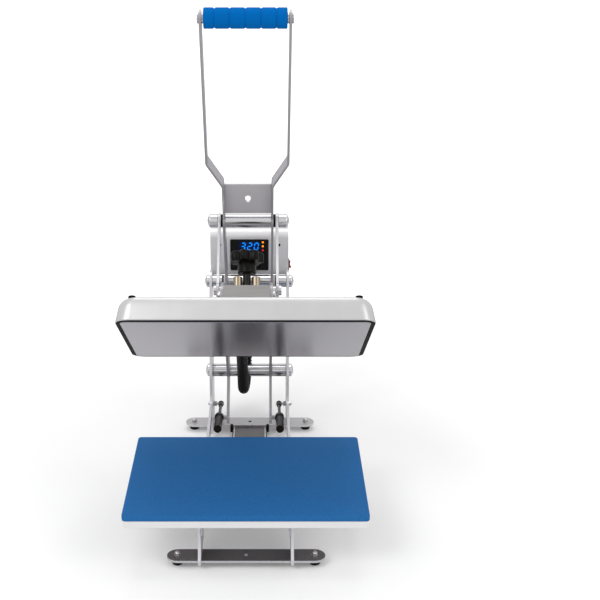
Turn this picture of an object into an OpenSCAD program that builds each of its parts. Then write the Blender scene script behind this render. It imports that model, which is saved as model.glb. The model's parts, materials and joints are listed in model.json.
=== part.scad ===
// Clamshell heat press, drawn open. X runs across, -Y is the front, Z is up and z = 0 is the table.
// Side views are drawn as [forward, up]: forward is measured from the arm hinge, up from the table.
// The arm and all that it carries are drawn closed and then swung open about the hinge.

/* [Overall] */
// Height from the table to the top of the grip, with the press open
total_height = 863.6; // [840:1:900]
// Distance from the arm hinge forward to the front of the lower pad
pad_front_reach = 533.7; // [525:1:545]
// Distance from the arm hinge back to the rear of the control box
box_rear_reach = 128; // [120:1:150]

/* [Lower platen] */
// Width of the silicone pad
pad_w = 394; // [370:1:405]
// Depth of the silicone pad
pad_d = 282; // [265:1:290]
// Thickness of the silicone pad
pad_t = 10; // [6:0.5:14]
// Corner radius of the pad and the platen
pad_corner_r = 6; // [2:0.5:12]
// How far the pad stands out past the platen
pad_overhang = 2; // [1:0.5:5]
// Thickness of the lower platen
platen_t = 13; // [8:0.5:18]
// Height of the pad's top face
pad_top_h = 104.8; // [100:0.5:110]

/* [Base] */
// Height of the rubber feet
foot_h = 11; // [9:0.5:16]
// Diameter of a foot at its top
foot_top_d = 20; // [17:0.5:26]
// Diameter of a foot at the table
foot_bottom_d = 17; // [12:0.5:19]
// Length of each foot bar
bar_len = 258; // [240:1:290]
// Width of each foot bar
bar_w = 36; // [30:1:42]
// Thickness of each foot bar
bar_t = 4; // [3:0.5:6]
// Distance between the front and rear foot bars
bar_spacing = 502; // [495:1:506]
// Distance between the two feet of one bar
foot_spacing = 224; // [200:1:236]
// Diameter of the hole for a bench bolt in the middle of each bar
bench_hole_d = 6.5; // [4:0.1:9]
// Width over the two side plates
base_w = 154.8; // [150:0.5:162]
// Thickness of each side plate
side_t = 5; // [4:0.5:6]
// Width of each upright at the arm hinge
upright_w = 96; // [88:1:100]
// Radius of each upright's rounded top
upright_top_r = 22; // [20:0.5:24]
// Depth of each front leg
front_leg_d = 88; // [70:1:110]
// How far the front leg stops short of the pad's front
front_leg_setback = 6; // [3:0.5:10]
// Height of the rail under the platen
rail_h = 24; // [20:0.5:34]
// Depth of the hollow in each front leg's front edge
leg_waist = 8; // [3:0.5:14]

/* [Hinges and levers] */
// Height of the arm hinge
arm_pivot_h = 128; // [124:0.5:132]
// Distance from the arm hinge back to the lever hinge
lever_pivot_back = 21; // [17:0.5:25]
// Height of the lever hinge
lever_pivot_h = 308; // [304:0.5:311]
// Angle that the arm opens
arm_open_angle = 33.6; // [30:0.1:36]
// Distance from the lever hinge to the link shaft
crank_len = 189; // [180:0.5:194]
// Angle of the lever above horizontal when the press is open
crank_angle = 54.5; // [51:0.1:58]
// Distance from the arm hinge forward to the link pin, press closed
link_pin_reach = 304.3; // [295:0.1:307]
// Height of the link pin above the arm hinge, press closed
link_pin_rise = 86; // [82:0.5:90]
// Diameter of the hinge shafts
shaft_d = 16; // [12:0.5:18]
// Outside diameter of the sleeves on the shafts
sleeve_d = 25.4; // [22:0.2:28]

/* [Handle] */
// Angle of the handle above horizontal when the press is open
handle_angle = 63.4; // [60:0.1:66]
// Width of the flat handle bars
strap_w = 25; // [20:0.5:26]
// Thickness of the flat handle bars
strap_t = 4; // [3.5:0.25:5]
// Distance between the outer faces of the two bars at the grip
handle_w = 146.5; // [138:0.5:160]
// Distance between the outer faces of the two bars at the hinge
handle_root_w = 92; // [90:0.5:92.5]
// Distance from the link shaft to the yoke plate
yoke_start = 20; // [18:0.5:28]
// Length of the yoke plate along the handle
yoke_len = 70; // [60:1:74]
// Thickness of the yoke plate
yoke_t = 5; // [3:0.5:6]
// Width of the slot in the yoke plate
yoke_slot_w = 9; // [6:0.5:12]
// Length of the slot in the yoke plate
yoke_slot_len = 15; // [12:0.5:20]
// Distance from the link shaft to the first bend of the bars
bend_start = 91; // [88:0.5:100]
// Length of the slanted stretch of the bars
bend_len = 52; // [44:0.5:60]
// Diameter of the foam grip
grip_d = 33; // [28:0.5:38]
// Length of the foam grip
grip_len = 132; // [120:1:134]
// Width of the grooves round the grip
groove_w = 2.4; // [1.5:0.1:4]
// Depth of the grooves round the grip
groove_depth = 2.2; // [1:0.1:4]

/* [Heated platen] */
// Width of the upper casing
casing_w = 410; // [398:1:420]
// Depth of the upper casing
casing_d = 288; // [276:1:292]
// Height of the upper casing with its heated plate
casing_h = 41; // [36:0.5:46]
// Wall of the upper casing
casing_wall = 2; // [1.5:0.1:3]
// Corner radius of the upper casing
casing_corner_r = 24; // [23:0.5:30]
// Width of the black gasket round the heated plate
gasket_w = 8; // [6:0.5:11]
// Thickness of the heated plate
heater_t = 13; // [10:0.5:16]
// Gap between the heated plate and the pad when the arm is fully down
closed_gap = 0.5; // [0.4:0.1:2]

/* [Pressure screw] */
// Width of the nut block between the arm plates
block_w = 78; // [76:0.5:80]
// Depth of the nut block
block_d = 50; // [44:0.5:56]
// Height of the nut block
block_h = 28; // [24:0.5:30]
// Height of the nut block's top above the casing
block_rise = 48; // [46:0.5:50]
// Diameter of the pressure screw
screw_d = 14; // [12:0.5:14.5]
// Distance from the nut block's top to the knob
screw_show = 25.5; // [25:0.5:30]
// Diameter of the knob over its lobes
knob_d = 57; // [50:0.5:62]
// Height of the knob's lobed head
knob_head_h = 17.5; // [15:0.5:24]
// Diameter of the knob's hub at its foot
knob_hub_d = 31; // [26:0.5:36]
// Height of the knob's hub
knob_hub_h = 20; // [14:0.5:24]
// Diameter of the brass guide bushes
guide_bush_d = 15; // [13:0.5:15]
// How far the brass guide bushes stand above the nut block
guide_bush_show = 20; // [16:0.2:20.5]
// Distance between the two guide bushes
guide_spacing = 31; // [31:0.5:38]
// Diameter of the guide pins
guide_pin_d = 8; // [6:0.5:10]

/* [Control box] */
// Width of the control box
box_w = 153.6; // [148:0.2:156]
// Height of the underside of the control box above the lever hinge
box_rise = 8; // [6:0.5:18]
// Height of the control box
box_h = 88; // [84:0.5:100]
// Wall of the control box
box_wall = 1.6; // [1.2:0.1:2.4]
// Gap between the rounded upright tops and the front of the box
box_standoff = 3; // [1:0.5:6]
// Width of the black panel
panel_w = 75; // [70:0.5:84]
// Height of the black panel
panel_h = 63; // [58:0.5:66]
// Width of the display window
display_w = 40; // [34:0.5:48]
// Height of the display window
display_h = 18; // [14:0.5:22]
// Diameter of the indicator lamps
lamp_d = 4; // [3:0.2:5]
// Diameter of the push buttons
button_d = 9; // [7:0.5:10]

/* [Gas struts] */
// Diameter of the strut tubes
strut_tube_d = 15; // [13:0.5:16]
// Diameter of the strut rods
strut_rod_d = 6; // [5:0.5:8]
// Length of tube ahead of its pivot collar
strut_tube_reach = 80; // [74:1:84]
// Distance between the two struts
strut_spacing = 118; // [114:0.5:120]
// Distance from the arm hinge to the strut pivot on the arm's tail
tail_len = 100; // [94:0.5:101]
// Angle of the tail below horizontal when the press is open
tail_angle = 45; // [42:0.5:48]

/* [Cable conduit] */
// Outside diameter of the ribbed conduit
conduit_d = 21; // [18:0.5:23]
// Bore of the ribbed conduit
conduit_bore = 14; // [10:0.5:15]
// Depth of the conduit's ribs
conduit_rib = 1.4; // [0.8:0.1:2]

/* [Clearances] */
// Radial running clearance of the shafts and pins
run_gap = 0.05; // [0.02:0.01:0.1]
// Gap between faces that move past each other
face_gap = 0.3; // [0.2:0.05:0.5]

/* [Hidden] */
$fn = 48;

// Overrun of every cut past the face that it cuts
overrun = 1;
// How far a flank runs inside the rounds that it joins
seam = 0.05;

// Places along the table
hinge_y = (pad_front_reach - box_rear_reach) / 2;
pad_centre_f = pad_front_reach - pad_d / 2;
rear_bar_f = 0;
front_bar_f = bar_spacing;
leg_front_f = pad_front_reach - front_leg_setback;
upright_rear_f = -upright_w * 0.46;
upright_front_f = upright_rear_f + upright_w;

// Heights
bar_top_h = foot_h + bar_t;
platen_top_h = pad_top_h - pad_t;
platen_under_h = platen_top_h - platen_t;

// Stack across each hinge, from the middle outward
base_half = base_w / 2;
side_in = base_half - side_t;
arm_in = block_w / 2;
arm_t = 5;
arm_out = arm_in + arm_t;
handle_out = handle_root_w / 2;
handle_in = handle_out - strap_t;
washer_t = 3.4;
link_t = 5;
link_in = handle_out + washer_t + 2 * face_gap;
link_out = link_in + link_t;
link_eye_r = 14;
link_shank_w = 20;
cap_len = 19.5;
dome_grip = 4;
dome_step = 5;
dome_rise = 4.5;
dome_sphere_r = 20.2;
washer_d = 24;
bush_neck_d = 20;
pin_neck_d = 10;
pin_bush_d = 16;
pin_head_d = 18;
pin_head_t = 5;
bush_flange_t = 4;
bush_flange_d = 24;
lever_washer_t = 2.5;
lever_stack_out = handle_out + bush_flange_t + lever_washer_t;
lever_boss_r = 19;
link_boss_r = 19;

// Pins of the linkage, as [forward, up]
arm_pivot = [0, arm_pivot_h];
lever_pivot = [-lever_pivot_back, lever_pivot_h];
link_shaft_at = lever_pivot + crank_len * [cos(crank_angle), sin(crank_angle)];
link_pin_closed = arm_pivot + [link_pin_reach, link_pin_rise];
link_pin_at = arm_pivot + turned([link_pin_reach, link_pin_rise], arm_open_angle);

// Handle
grip_h = total_height - grip_d / 2;
handle_len = (grip_h - link_shaft_at[1]) / sin(handle_angle);
bend_end = bend_start + bend_len;
strap_mid_low = (handle_in + handle_out) / 2;
strap_mid_high = handle_w / 2 - strap_t / 2;
bend_r = 12;
grip_bore_d = 14;
grip_bolt_d = 17;
grip_bolt_t = 3;
grip_washer_t = 2;
grip_stud_d = 8;
bend_angle = atan((strap_mid_high - strap_mid_low) / bend_len);
arc_steps = 8;
groove_shares = [-0.36, -0.19, 0, 0.19, 0.36];

// Heated platen, in the arm's closed place
casing_bottom_h = pad_top_h + closed_gap;
casing_top_h = casing_bottom_h + casing_h;
skirt_lift = 2;
skin = 0.1;
gasket_lift = 0.5;
gasket_inset = 0.8;
casing_levels = [0, 0.55, 0.8, 0.95, 1];
side_insets = [0, 3.6, 8, 14, 20];
front_insets = [0, 1.2, 2.6, 5, 9];
heater_w = casing_w - 2 * gasket_w;
heater_d = casing_d - 2 * gasket_w;
heater_corner_r = 10;
insulation_in = 24;
element_d = 8;
element_rows = 4;
element_pitch = 52;
element_run = 260;
insulation_t = 8;
cap_d = 12;
cap_t = 5.6;
cap_inset = 25.5;
cap_setback = 23;
float_plate_w = 130;
float_plate_d = 90;
float_plate_t = 6;
thrust_seat_h = 4;
thrust_seat_d = 26;

// Nut block and pressure screw, measured from the casing's top
block_top_h = casing_top_h + block_rise;
block_low_h = block_top_h - block_h;
block_mid_h = (block_low_h + block_top_h) / 2;
block_bolt_len = 14;
screw_in_knob = 12;
block_bolt_d = 8;
block_bolt_head_d = 14;
block_bolt_head_t = 4.5;
block_bolt_spacing = 28;
guide_pin_short = 2;
knob_foot_h = block_top_h + screw_show;
knob_lobes = 7;
knob_core_share = 0.74;
knob_lobe_d = 14;
knob_edge_r = 3;

// Arm plates, as [forward, up from the hinge] with a radius, press closed
arm_boss_r = 24;
arm_mid = [200, 52];
arm_mid_r = 24;
link_boss_drop = 8;
arm_link_r = 22;
arm_nose_r = 22;
tail_r = 12;

// Gas struts
strut_x = strut_spacing / 2;
ball_at = [-30, 40.7];
ball_d = 8;
socket_d = 12;
ball_stud_d = 6;
ball_nut_w = 11;
ball_nut_t = 5;
strut_pivot_open = arm_pivot + tail_len * [cos(tail_angle), -sin(tail_angle)];
strut_pivot_closed = arm_pivot + tail_len * [cos(tail_angle + arm_open_angle),
    -sin(tail_angle + arm_open_angle)];
strut_open_len = norm(strut_pivot_open - ball_at);
strut_closed_len = norm(strut_pivot_closed - ball_at);
strut_lean = atan2(strut_pivot_open[1] - ball_at[1], strut_pivot_open[0] - ball_at[0]);
strut_wall = 1.5;
ball_neck_d = 5;
ferrule_d = 9;
ferrule_len = 16;
rod_past = 10;
gland_len = 8;
collar_d = 18;
collar_len = 14;
tail_stud_d = 8;

// Control box
box_front_f = -(lever_pivot_back + upright_top_r + box_standoff);
box_bottom_h = lever_pivot_h + box_rise;
inlet_flange_t = 2;
box_rear_f = -(box_rear_reach - inlet_flange_t);
box_top_h = box_bottom_h + box_h;
box_edge_r = 16;
shell_rear_f = box_rear_f + box_wall;
back_lip = 6;
panel_t = 2;
panel_low_h = box_bottom_h + 6.4;
panel_top_h = panel_low_h + panel_h;
panel_lip = 2.5;
panel_r = 2;
window_proud = 0.6;
window_drop = 4.6;
window_mid_h = panel_top_h - window_drop - display_h / 2;
lamp_x = 26.3;
lamp_pitch = 8.2;
lamp_proud = 0.8;
button_pitch = 17;
button_proud = 1.4;
button_flange = 1;
button_stem_d = 4;
switch_w = 6;
switch_h = 4;
post_d = 6;
post_in = 4;
button_travel = 0.8;
button_mid_h = panel_low_h + 9;
rocker_f = box_front_f - 20;
rocker_h = box_bottom_h + 11.5;
rocker_w = 10;
rocker_len = 16;
rocker_frame_w = 15;
rocker_frame_len = 21;
rocker_frame_t = 2;
rocker_depth = 12;
rocker_sleeve = 1.5;
rocker_clear = 1.1;
rocker_tilt = 6;
rocker_face = 6;
rocker_swell = 2.4;
rocker_pivot_x = box_w / 2 - 3;
inlet_body_w = 29;
inlet_body_h = 21;
inlet_pin_pitch = 7;
inlet_pin_w = 2;
inlet_w = 48;
inlet_h = 28;
inlet_socket_w = 25;
inlet_socket_h = 17;
inlet_depth = 22;
inlet_x = 38;
inlet_mid_h = box_bottom_h + 24;
board_w = 69;
board_h = 54;
board_t = 1.6;
board_back = 16;
box_screw_x = 58;
box_screw_rise = 57.8;
box_screw_d = 6;
box_screw_t = 1.6;
bracket_t = 3;
ear_r = 8;
ear_depth = 41;
ear_fall = 12;
ear_top_angle = 183;
tray_front_f = box_front_f - 2;
tray_rear_f = -104;
ear_at = [tray_rear_f + ear_r, box_bottom_h - bracket_t - ear_r];
tray_flange_front_f = -84;
tray_flange_h = 14;
gland_x = -6;
gland_f = -80;
gland_neck_d = 20;
gland_nut_w = 30;
gland_nut_t = 10;
gland_inner_len = 6;
gland_heater_x = -12;
gland_heater_h = casing_bottom_h + 19.7;
gland_seat_f = pad_centre_f - casing_d / 2 + front_insets[1];

// Base tongue behind the platen, and the bumpers that stop the arm's tail
tongue_w = 69;
tongue_rear_f = -15;
tongue_front_f = 120;
tongue_t = 4;
bumper_out = arm_in - face_gap;
bumper_w = 5.4;
bumper_f = 22;
bumper_len = 12;
bumper_h = 9;

// Brackets under the lower platen
bracket_leg = 24;
bracket_wall = 3;
bracket_end_gap = 12;
bracket_rear_f = pad_front_reach - pad_d + bracket_end_gap;
bracket_front_f = leg_front_f - bracket_end_gap;

// Route of the conduit: its fall from the heated platen, the loop under the arm hinge, and its rise to the box.
// The loop is [share across, forward, up from the arm hinge], and the others are shares along and shares up.
fall_shares = [[0.148, 0.119], [0.299, 0.254], [0.449, 0.403], [0.587, 0.566], [0.712, 0.742],
    [0.837, 0.905]];
loop_points = [[0.17, 24, -29], [0.5, -5, -31], [0.83, -29, -17], [1, -44, 8]];
rise_shares = [[0.28, 0.2], [0.5, 0.4], [0.69, 0.61], [0.86, 0.815]];
ribs_per_span = 6;
path_step = 0.02;
conduit_sides = 8;

// Feet and the rounded corners of the base
foot_screw_d = 5;
foot_screw_head_d = 9;
foot_screw_head_t = 7;
foot_screw_len = 7;
rail_fillet_r = 30;
leg_corner = 5;
round_steps = 24;

function turned(p, a) = [p[0] * cos(a) - p[1] * sin(a), p[0] * sin(a) + p[1] * cos(a)];
function along(p, a, s) = p + s * [cos(a), sin(a)];
function unit(v) = v / norm(v);
function arc(c, r, a, b, steps = arc_steps) = [for (i = [0:steps]) c + r * [cos(a + (b - a) * i / steps),
    sin(a + (b - a) * i / steps)]];

// Plate from a side view, thick across from x_low
module plate_across(x_low, thick) {
    translate([x_low + thick, hinge_y, 0]) rotate([90, 0, -90]) linear_extrude(thick) children();
}

// Round bar across the machine, centred on a side-view point
module bar_across(at, d, x_low, x_high) {
    translate([x_low, hinge_y - at[0], at[1]]) rotate([0, 90, 0]) cylinder(d = d, h = x_high - x_low);
}

// Tube across the machine on a shaft
module sleeve_across(at, d, bore, x_low, x_high) {
    difference() {
        bar_across(at, d, x_low, x_high);
        bar_across(at, bore, x_low - overrun, x_high + overrun);
    }
}

// Box given by its limits across, forward and up
module block_at(x, f, z) {
    translate([x[0], hinge_y - f[1], z[0]]) cube([x[1] - x[0], f[1] - f[0], z[1] - z[0]]);
}

module both_sides() {
    children();
    mirror([1, 0, 0]) children();
}

module arm_open() {
    translate([0, hinge_y, arm_pivot_h]) rotate([-arm_open_angle, 0, 0])
        translate([0, -hinge_y, -arm_pivot_h]) children();
}

// X stays across, Y runs up the handle from the link shaft, Z points at the user
module handle_frame() {
    translate([0, hinge_y - link_shaft_at[0], link_shaft_at[1]]) rotate([180 - handle_angle, 0,
        0]) children();
}

// Z runs up the pressure screw from the middle of the casing's top
module screw_frame() {
    arm_open() translate([0, hinge_y - pad_centre_f, casing_top_h]) children();
}

// Flat bar between two rounded ends of any two radii
module lobed_bar(p, pr, q, qr) {
    a = atan2(q[1] - p[1], q[0] - p[0]);
    k = acos((pr - qr) / norm(q - p));
    polygon([along(p, a + k, pr - seam), along(q, a + k, qr - seam), along(q, a - k, qr - seam),
        along(p, a - k, pr - seam)]);
    translate(p) circle(pr);
    translate(q) circle(qr);
}

module rounded_rect(w, d, r) {
    square([w - 2 * r, d], center = true);
    square([w, d - 2 * r], center = true);
    for (x = [-1, 1], y = [-1, 1]) translate([x * (w / 2 - r), y * (d / 2 - r)]) circle(r);
}

// Base

// Angle on a circle at which a line from p touches it, on the side given by the sign
function touch(p, c, r, side) = atan2(p[1] - c[1], p[0] - c[0]) + side * acos(r / norm(p - c));

function notch(f, way) = let(w = way * (bar_w / 2 + face_gap))
    [[f - w, foot_h], [f - w, bar_top_h], [f + w, bar_top_h], [f + w, foot_h]];

// Outline of a side plate, from the foot of its rear edge up, over the top, forward and back along the foot
side_outline = let(half = upright_w / 2, shoulder = [upright_rear_f + half, arm_pivot_h],
    way = lever_pivot - shoulder, lean = atan2(way[1], way[0]) - acos((half - upright_top_r) / norm(way)),
    rear_top = along(lever_pivot, ear_top_angle, upright_top_r),
    rear_foot = [upright_rear_f, arm_pivot_h], rise = rear_top - rear_foot,
    ear_low = rear_foot + rise * (box_bottom_h - ear_depth - arm_pivot_h) / rise[1],
    ear_high = rear_foot + rise * (box_bottom_h - ear_fall - arm_pivot_h) / rise[1],
    leg_rear_f = leg_front_f - front_leg_d, rail_under_h = platen_under_h - rail_h,
    waist_h = platen_under_h - bar_top_h - 2 * leg_corner,
        waist_mid_h = bar_top_h + leg_corner + waist_h / 2,
    waist_r = (waist_h * waist_h / 4 + leg_waist * leg_waist) / (2 * leg_waist),
    waist_at = [leg_front_f - leg_waist + waist_r, waist_mid_h], bow = asin(waist_h / 2 / waist_r),
    r = rail_fillet_r)
    concat([[upright_rear_f, foot_h], rear_foot, ear_low],
    arc(ear_at, ear_r, 360 + touch(ear_low, ear_at, ear_r, -1), touch(ear_high, ear_at, ear_r, 1)),
        [ear_high],
    arc(lever_pivot, upright_top_r, ear_top_angle, lean, round_steps),
    arc(shoulder, half, lean, 0),
    arc([upright_front_f + r / 2, platen_under_h + r / 2], r / 2, 180, 270),
    [[leg_front_f, platen_under_h]], arc(waist_at, waist_r, 180 - bow, 180 + bow, round_steps),
    [[leg_front_f, foot_h]], notch(front_bar_f, -1), [[leg_rear_f, foot_h]],
    arc([leg_rear_f - r, rail_under_h - r], r, 0, 90),
    arc([upright_front_f + r, rail_under_h - r], r, 90, 180),
    [[upright_front_f, foot_h]], notch(rear_bar_f, -1));

module side_plate_view() {
    difference() {
        polygon(side_outline);
        for (p = [arm_pivot, lever_pivot]) translate(p) circle(d = shaft_d);
        translate(ball_at) circle(d = ball_stud_d);
    }
}

module side_plate_right() {
    color("gainsboro") plate_across(side_in, side_t) side_plate_view();
}

module side_plate_left() {
    mirror([1, 0, 0]) side_plate_right();
}

module foot_bar(f) {
    translate([0, hinge_y - f, foot_h]) difference() {
        linear_extrude(bar_t) {
            square([bar_len - bar_w, bar_w], center = true);
            for (x = [-1, 1]) translate([x * (bar_len - bar_w) / 2, 0]) circle(d = bar_w);
        }
        for (x = [-1, 1]) translate([x * foot_spacing / 2, 0, -overrun])
            cylinder(d = foot_screw_d, h = bar_t + 2 * overrun);
        translate([0, 0, -overrun]) cylinder(d = bench_hole_d, h = bar_t + 2 * overrun);
    }
}

module front_foot_bar() {
    color("dimgray") foot_bar(front_bar_f);
}

module rear_foot_bar() {
    color("lightgray") foot_bar(rear_bar_f);
}

module at_feet() {
    for (x = [-1, 1], f = [rear_bar_f, front_bar_f]) translate([x * foot_spacing / 2, hinge_y - f,
        0]) children();
}

module rubber_feet() {
    color("black") at_feet() difference() {
        union() {
            cylinder(d1 = foot_bottom_d, d2 = foot_top_d, h = foot_h / 2);
            translate([0, 0, foot_h / 2]) cylinder(d = foot_top_d, h = foot_h / 2);
        }
        translate([0, 0, foot_h - foot_screw_len]) cylinder(d = foot_screw_d,
            h = foot_screw_len + overrun);
    }
}

module foot_screws() {
    color("silver") at_feet() {
        translate([0, 0, bar_top_h]) cylinder(d = foot_screw_head_d, h = foot_screw_head_t / 2);
        translate([0, 0, bar_top_h + foot_screw_head_t / 2]) cylinder(d1 = foot_screw_head_d,
            d2 = foot_screw_head_d / 2, h = foot_screw_head_t / 2);
        translate([0, 0, foot_h - foot_screw_len]) cylinder(d = foot_screw_d, h = bar_t + foot_screw_len);
    }
}

module base_tongue() {
    color("dimgray") difference() {
        block_at([-tongue_w / 2, tongue_w / 2], [tongue_rear_f, tongue_front_f], [foot_h - tongue_t,
            foot_h]);
        translate([0, hinge_y - rear_bar_f, foot_h - tongue_t - overrun])
            cylinder(d = bench_hole_d, h = tongue_t + 2 * overrun);
    }
}

// Lower platen

module lower_platen() {
    color("whitesmoke") translate([0, hinge_y - pad_centre_f, platen_under_h]) linear_extrude(platen_t)
        rounded_rect(pad_w - 2 * pad_overhang, pad_d - 2 * pad_overhang, pad_corner_r);
}

module silicone_pad() {
    color("royalblue") translate([0, hinge_y - pad_centre_f, platen_top_h]) linear_extrude(pad_t)
        rounded_rect(pad_w, pad_d, pad_corner_r);
}

module platen_brackets() {
    color("lightgray") both_sides() {
        block_at([side_in - bracket_leg, side_in], [bracket_rear_f, bracket_front_f],
            [platen_under_h - bracket_wall, platen_under_h]);
        block_at([side_in - bracket_wall, side_in], [bracket_rear_f, bracket_front_f],
            [platen_under_h - bracket_leg, platen_under_h]);
    }
}

// Fixed hinge parts

module hinge_shafts() {
    color("silver") for (p = [arm_pivot, lever_pivot])
        bar_across(p, shaft_d, -base_half - dome_grip, base_half + dome_grip);
}

module shaft_spacers() {
    color("silver") both_sides() {
        sleeve_across(arm_pivot, sleeve_d, shaft_d, arm_out + face_gap, side_in);
        sleeve_across(lever_pivot, sleeve_d, shaft_d, lever_stack_out + face_gap, side_in);
    }
}

module dome() {
    intersection() {
        cylinder(d = sleeve_d, h = dome_rise);
        translate([0, 0, dome_rise - dome_sphere_r]) sphere(dome_sphere_r);
    }
}

module dome_nut() {
    difference() {
        union() {
            cylinder(d = sleeve_d, h = dome_step);
            translate([0, 0, dome_step]) dome();
        }
        translate([0, 0, -overrun]) cylinder(d = shaft_d, h = dome_grip + overrun);
    }
}

module dome_nuts() {
    color("silver") for (p = [arm_pivot, lever_pivot]) both_sides()
        translate([base_half, hinge_y - p[0], p[1]]) rotate([0, 90, 0]) dome_nut();
}

module ball_studs() {
    color("silver") both_sides() translate([0, hinge_y - ball_at[0], ball_at[1]]) {
        translate([strut_x - socket_d / 2, 0, 0]) rotate([0, 90, 0]) cylinder(d = ball_d, h = socket_d);
        translate([strut_x, 0, 0]) rotate([0, 90, 0]) cylinder(d = ball_neck_d,
            h = side_in - ball_nut_t / 2 - strut_x);
        translate([side_in - ball_nut_t, 0, 0]) rotate([0, 90, 0])
            cylinder(d = ball_nut_w, h = ball_nut_t, $fn = 6);
        translate([side_in - ball_nut_t / 2, 0, 0]) rotate([0, 90, 0])
            cylinder(d = ball_stud_d, h = side_t + 2 * ball_nut_t);
        translate([base_half, 0, 0]) rotate([0, 90, 0]) cylinder(d = ball_nut_w, h = ball_nut_t, $fn = 6);
    }
}

// Control box

module box_bracket() {
    color("silver") difference() {
        union() {
            block_at([-side_in, side_in], [tray_rear_f, tray_front_f], [box_bottom_h - bracket_t,
                box_bottom_h]);
            both_sides() block_at([side_in - bracket_t, side_in], [tray_rear_f, tray_flange_front_f],
                [box_bottom_h - tray_flange_h, box_bottom_h]);
        }
        translate([gland_x, hinge_y - gland_f, box_bottom_h - bracket_t - overrun])
            cylinder(d = gland_neck_d, h = bracket_t + 2 * overrun);
    }
}

module stop_bumpers() {
    color("black") both_sides() {
        block_at([bumper_out - bumper_w, bumper_out], [bumper_f, bumper_f + bumper_len], [foot_h,
            foot_h + bumper_h]);
        block_at([tongue_w / 2, bumper_out], [bumper_f, bumper_f + bumper_len], [foot_h - tongue_t,
            foot_h]);
    }
}

// Side view of the control box, drawn in from its outside by inset and open at the rear
module box_view(inset) {
    front = box_front_f - inset;
    low = box_bottom_h + inset;
    top = box_top_h - inset;
    r = box_edge_r - inset;
    translate([shell_rear_f, low]) square([front - shell_rear_f, top - r - low]);
    translate([shell_rear_f, low]) square([front - r - shell_rear_f, top - low]);
    translate([front - r, top - r]) circle(r);
}

module control_box_shell() {
    x = box_w / 2;
    color("gainsboro") difference() {
        plate_across(-x, box_w) box_view(0);
        plate_across(box_wall - x, box_w - 2 * box_wall) box_view(box_wall);
        block_at([box_wall - x, x - box_wall], [shell_rear_f - overrun, shell_rear_f + overrun],
            [box_bottom_h + box_wall, box_top_h - box_wall]);
        block_at([panel_lip - panel_w / 2, panel_w / 2 - panel_lip],
            [box_front_f - box_wall - overrun, box_front_f + overrun], [panel_low_h + panel_lip,
                panel_top_h - panel_lip]);
        block_at([x - box_wall - overrun, x + overrun],
            [rocker_f - rocker_w / 2 - rocker_sleeve, rocker_f + rocker_w / 2 + rocker_sleeve],
            [rocker_h - rocker_len / 2 - rocker_sleeve, rocker_h + rocker_len / 2 + rocker_sleeve]);
        translate([gland_x, hinge_y - gland_f, box_bottom_h - overrun]) cylinder(d = gland_neck_d,
            h = box_wall + 2 * overrun);
        for (s = [-1, 1]) translate([s * box_screw_x, hinge_y - box_front_f - overrun,
            box_bottom_h + box_screw_rise])
            rotate([-90, 0, 0]) cylinder(d = box_screw_d / 2, h = box_wall + 2 * overrun);
    }
}

module control_box_back() {
    x = box_w / 2 - box_wall;
    color("gainsboro") difference() {
        union() {
            block_at([-box_w / 2, box_w / 2], [box_rear_f, shell_rear_f], [box_bottom_h, box_top_h]);
            block_at([-x, x], [shell_rear_f - overrun, shell_rear_f + back_lip],
                [box_bottom_h + box_wall, box_top_h - box_wall]);
        }
        block_at([box_wall - x, x - box_wall], [shell_rear_f, shell_rear_f + back_lip + overrun],
            [box_bottom_h + 2 * box_wall, box_top_h - 2 * box_wall]);
        block_at([inlet_x - inlet_body_w / 2, inlet_x + inlet_body_w / 2], [box_rear_f - overrun,
            shell_rear_f + back_lip],
            [inlet_mid_h - inlet_body_h / 2, inlet_mid_h + inlet_body_h / 2]);
    }
}

// Place on the front of the control box, with Z going into the box
module on_panel(x, h) {
    translate([x, hinge_y - box_front_f - panel_t, h]) rotate([-90, 0, 0]) children();
}

module lamp_places() {
    for (i = [-1, 0, 1]) on_panel(lamp_x, window_mid_h + i * lamp_pitch) children();
}

module control_panel() {
    color("black") difference() {
        on_panel(0, (panel_low_h + panel_top_h) / 2) linear_extrude(panel_t) rounded_rect(panel_w,
            panel_h, panel_r);
        on_panel(0, window_mid_h) translate([-display_w / 2, -display_h / 2, -overrun])
            cube([display_w, display_h, panel_t + 2 * overrun]);
        lamp_places() translate([0, 0, -overrun]) cylinder(d = lamp_d, h = panel_t + 2 * overrun);
        for (i = [-1, 0, 1]) on_panel(i * button_pitch, button_mid_h) translate([0, 0, -overrun])
            cylinder(d = button_d + 2 * face_gap, h = panel_t + 2 * overrun);
    }
}

module display_window() {
    color("midnightblue") on_panel(0, window_mid_h) translate([-display_w / 2, -display_h / 2,
        -window_proud])
        cube([display_w, display_h, panel_t + window_proud]);
}

module indicator_lamps() {
    color("orange") lamp_places() translate([0, 0, -lamp_proud]) cylinder(d = lamp_d,
        h = panel_t + lamp_proud);
}

module button(x) {
    on_panel(x, button_mid_h) {
        translate([0, 0, -button_proud]) cylinder(d = button_d, h = button_proud + panel_t + face_gap);
        translate([0, 0, panel_t + face_gap]) cylinder(d = button_d + 3 * button_flange,
            h = button_flange);
        translate([0, 0, panel_t + face_gap]) cylinder(d = button_stem_d,
            h = board_back - switch_h - button_travel - 2 * face_gap);
    }
}

module button_set() {
    color("dimgray") button(-button_pitch);
}

module button_up() {
    color("dimgray") button(0);
}

module button_down() {
    color("dimgray") button(button_pitch);
}

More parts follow.
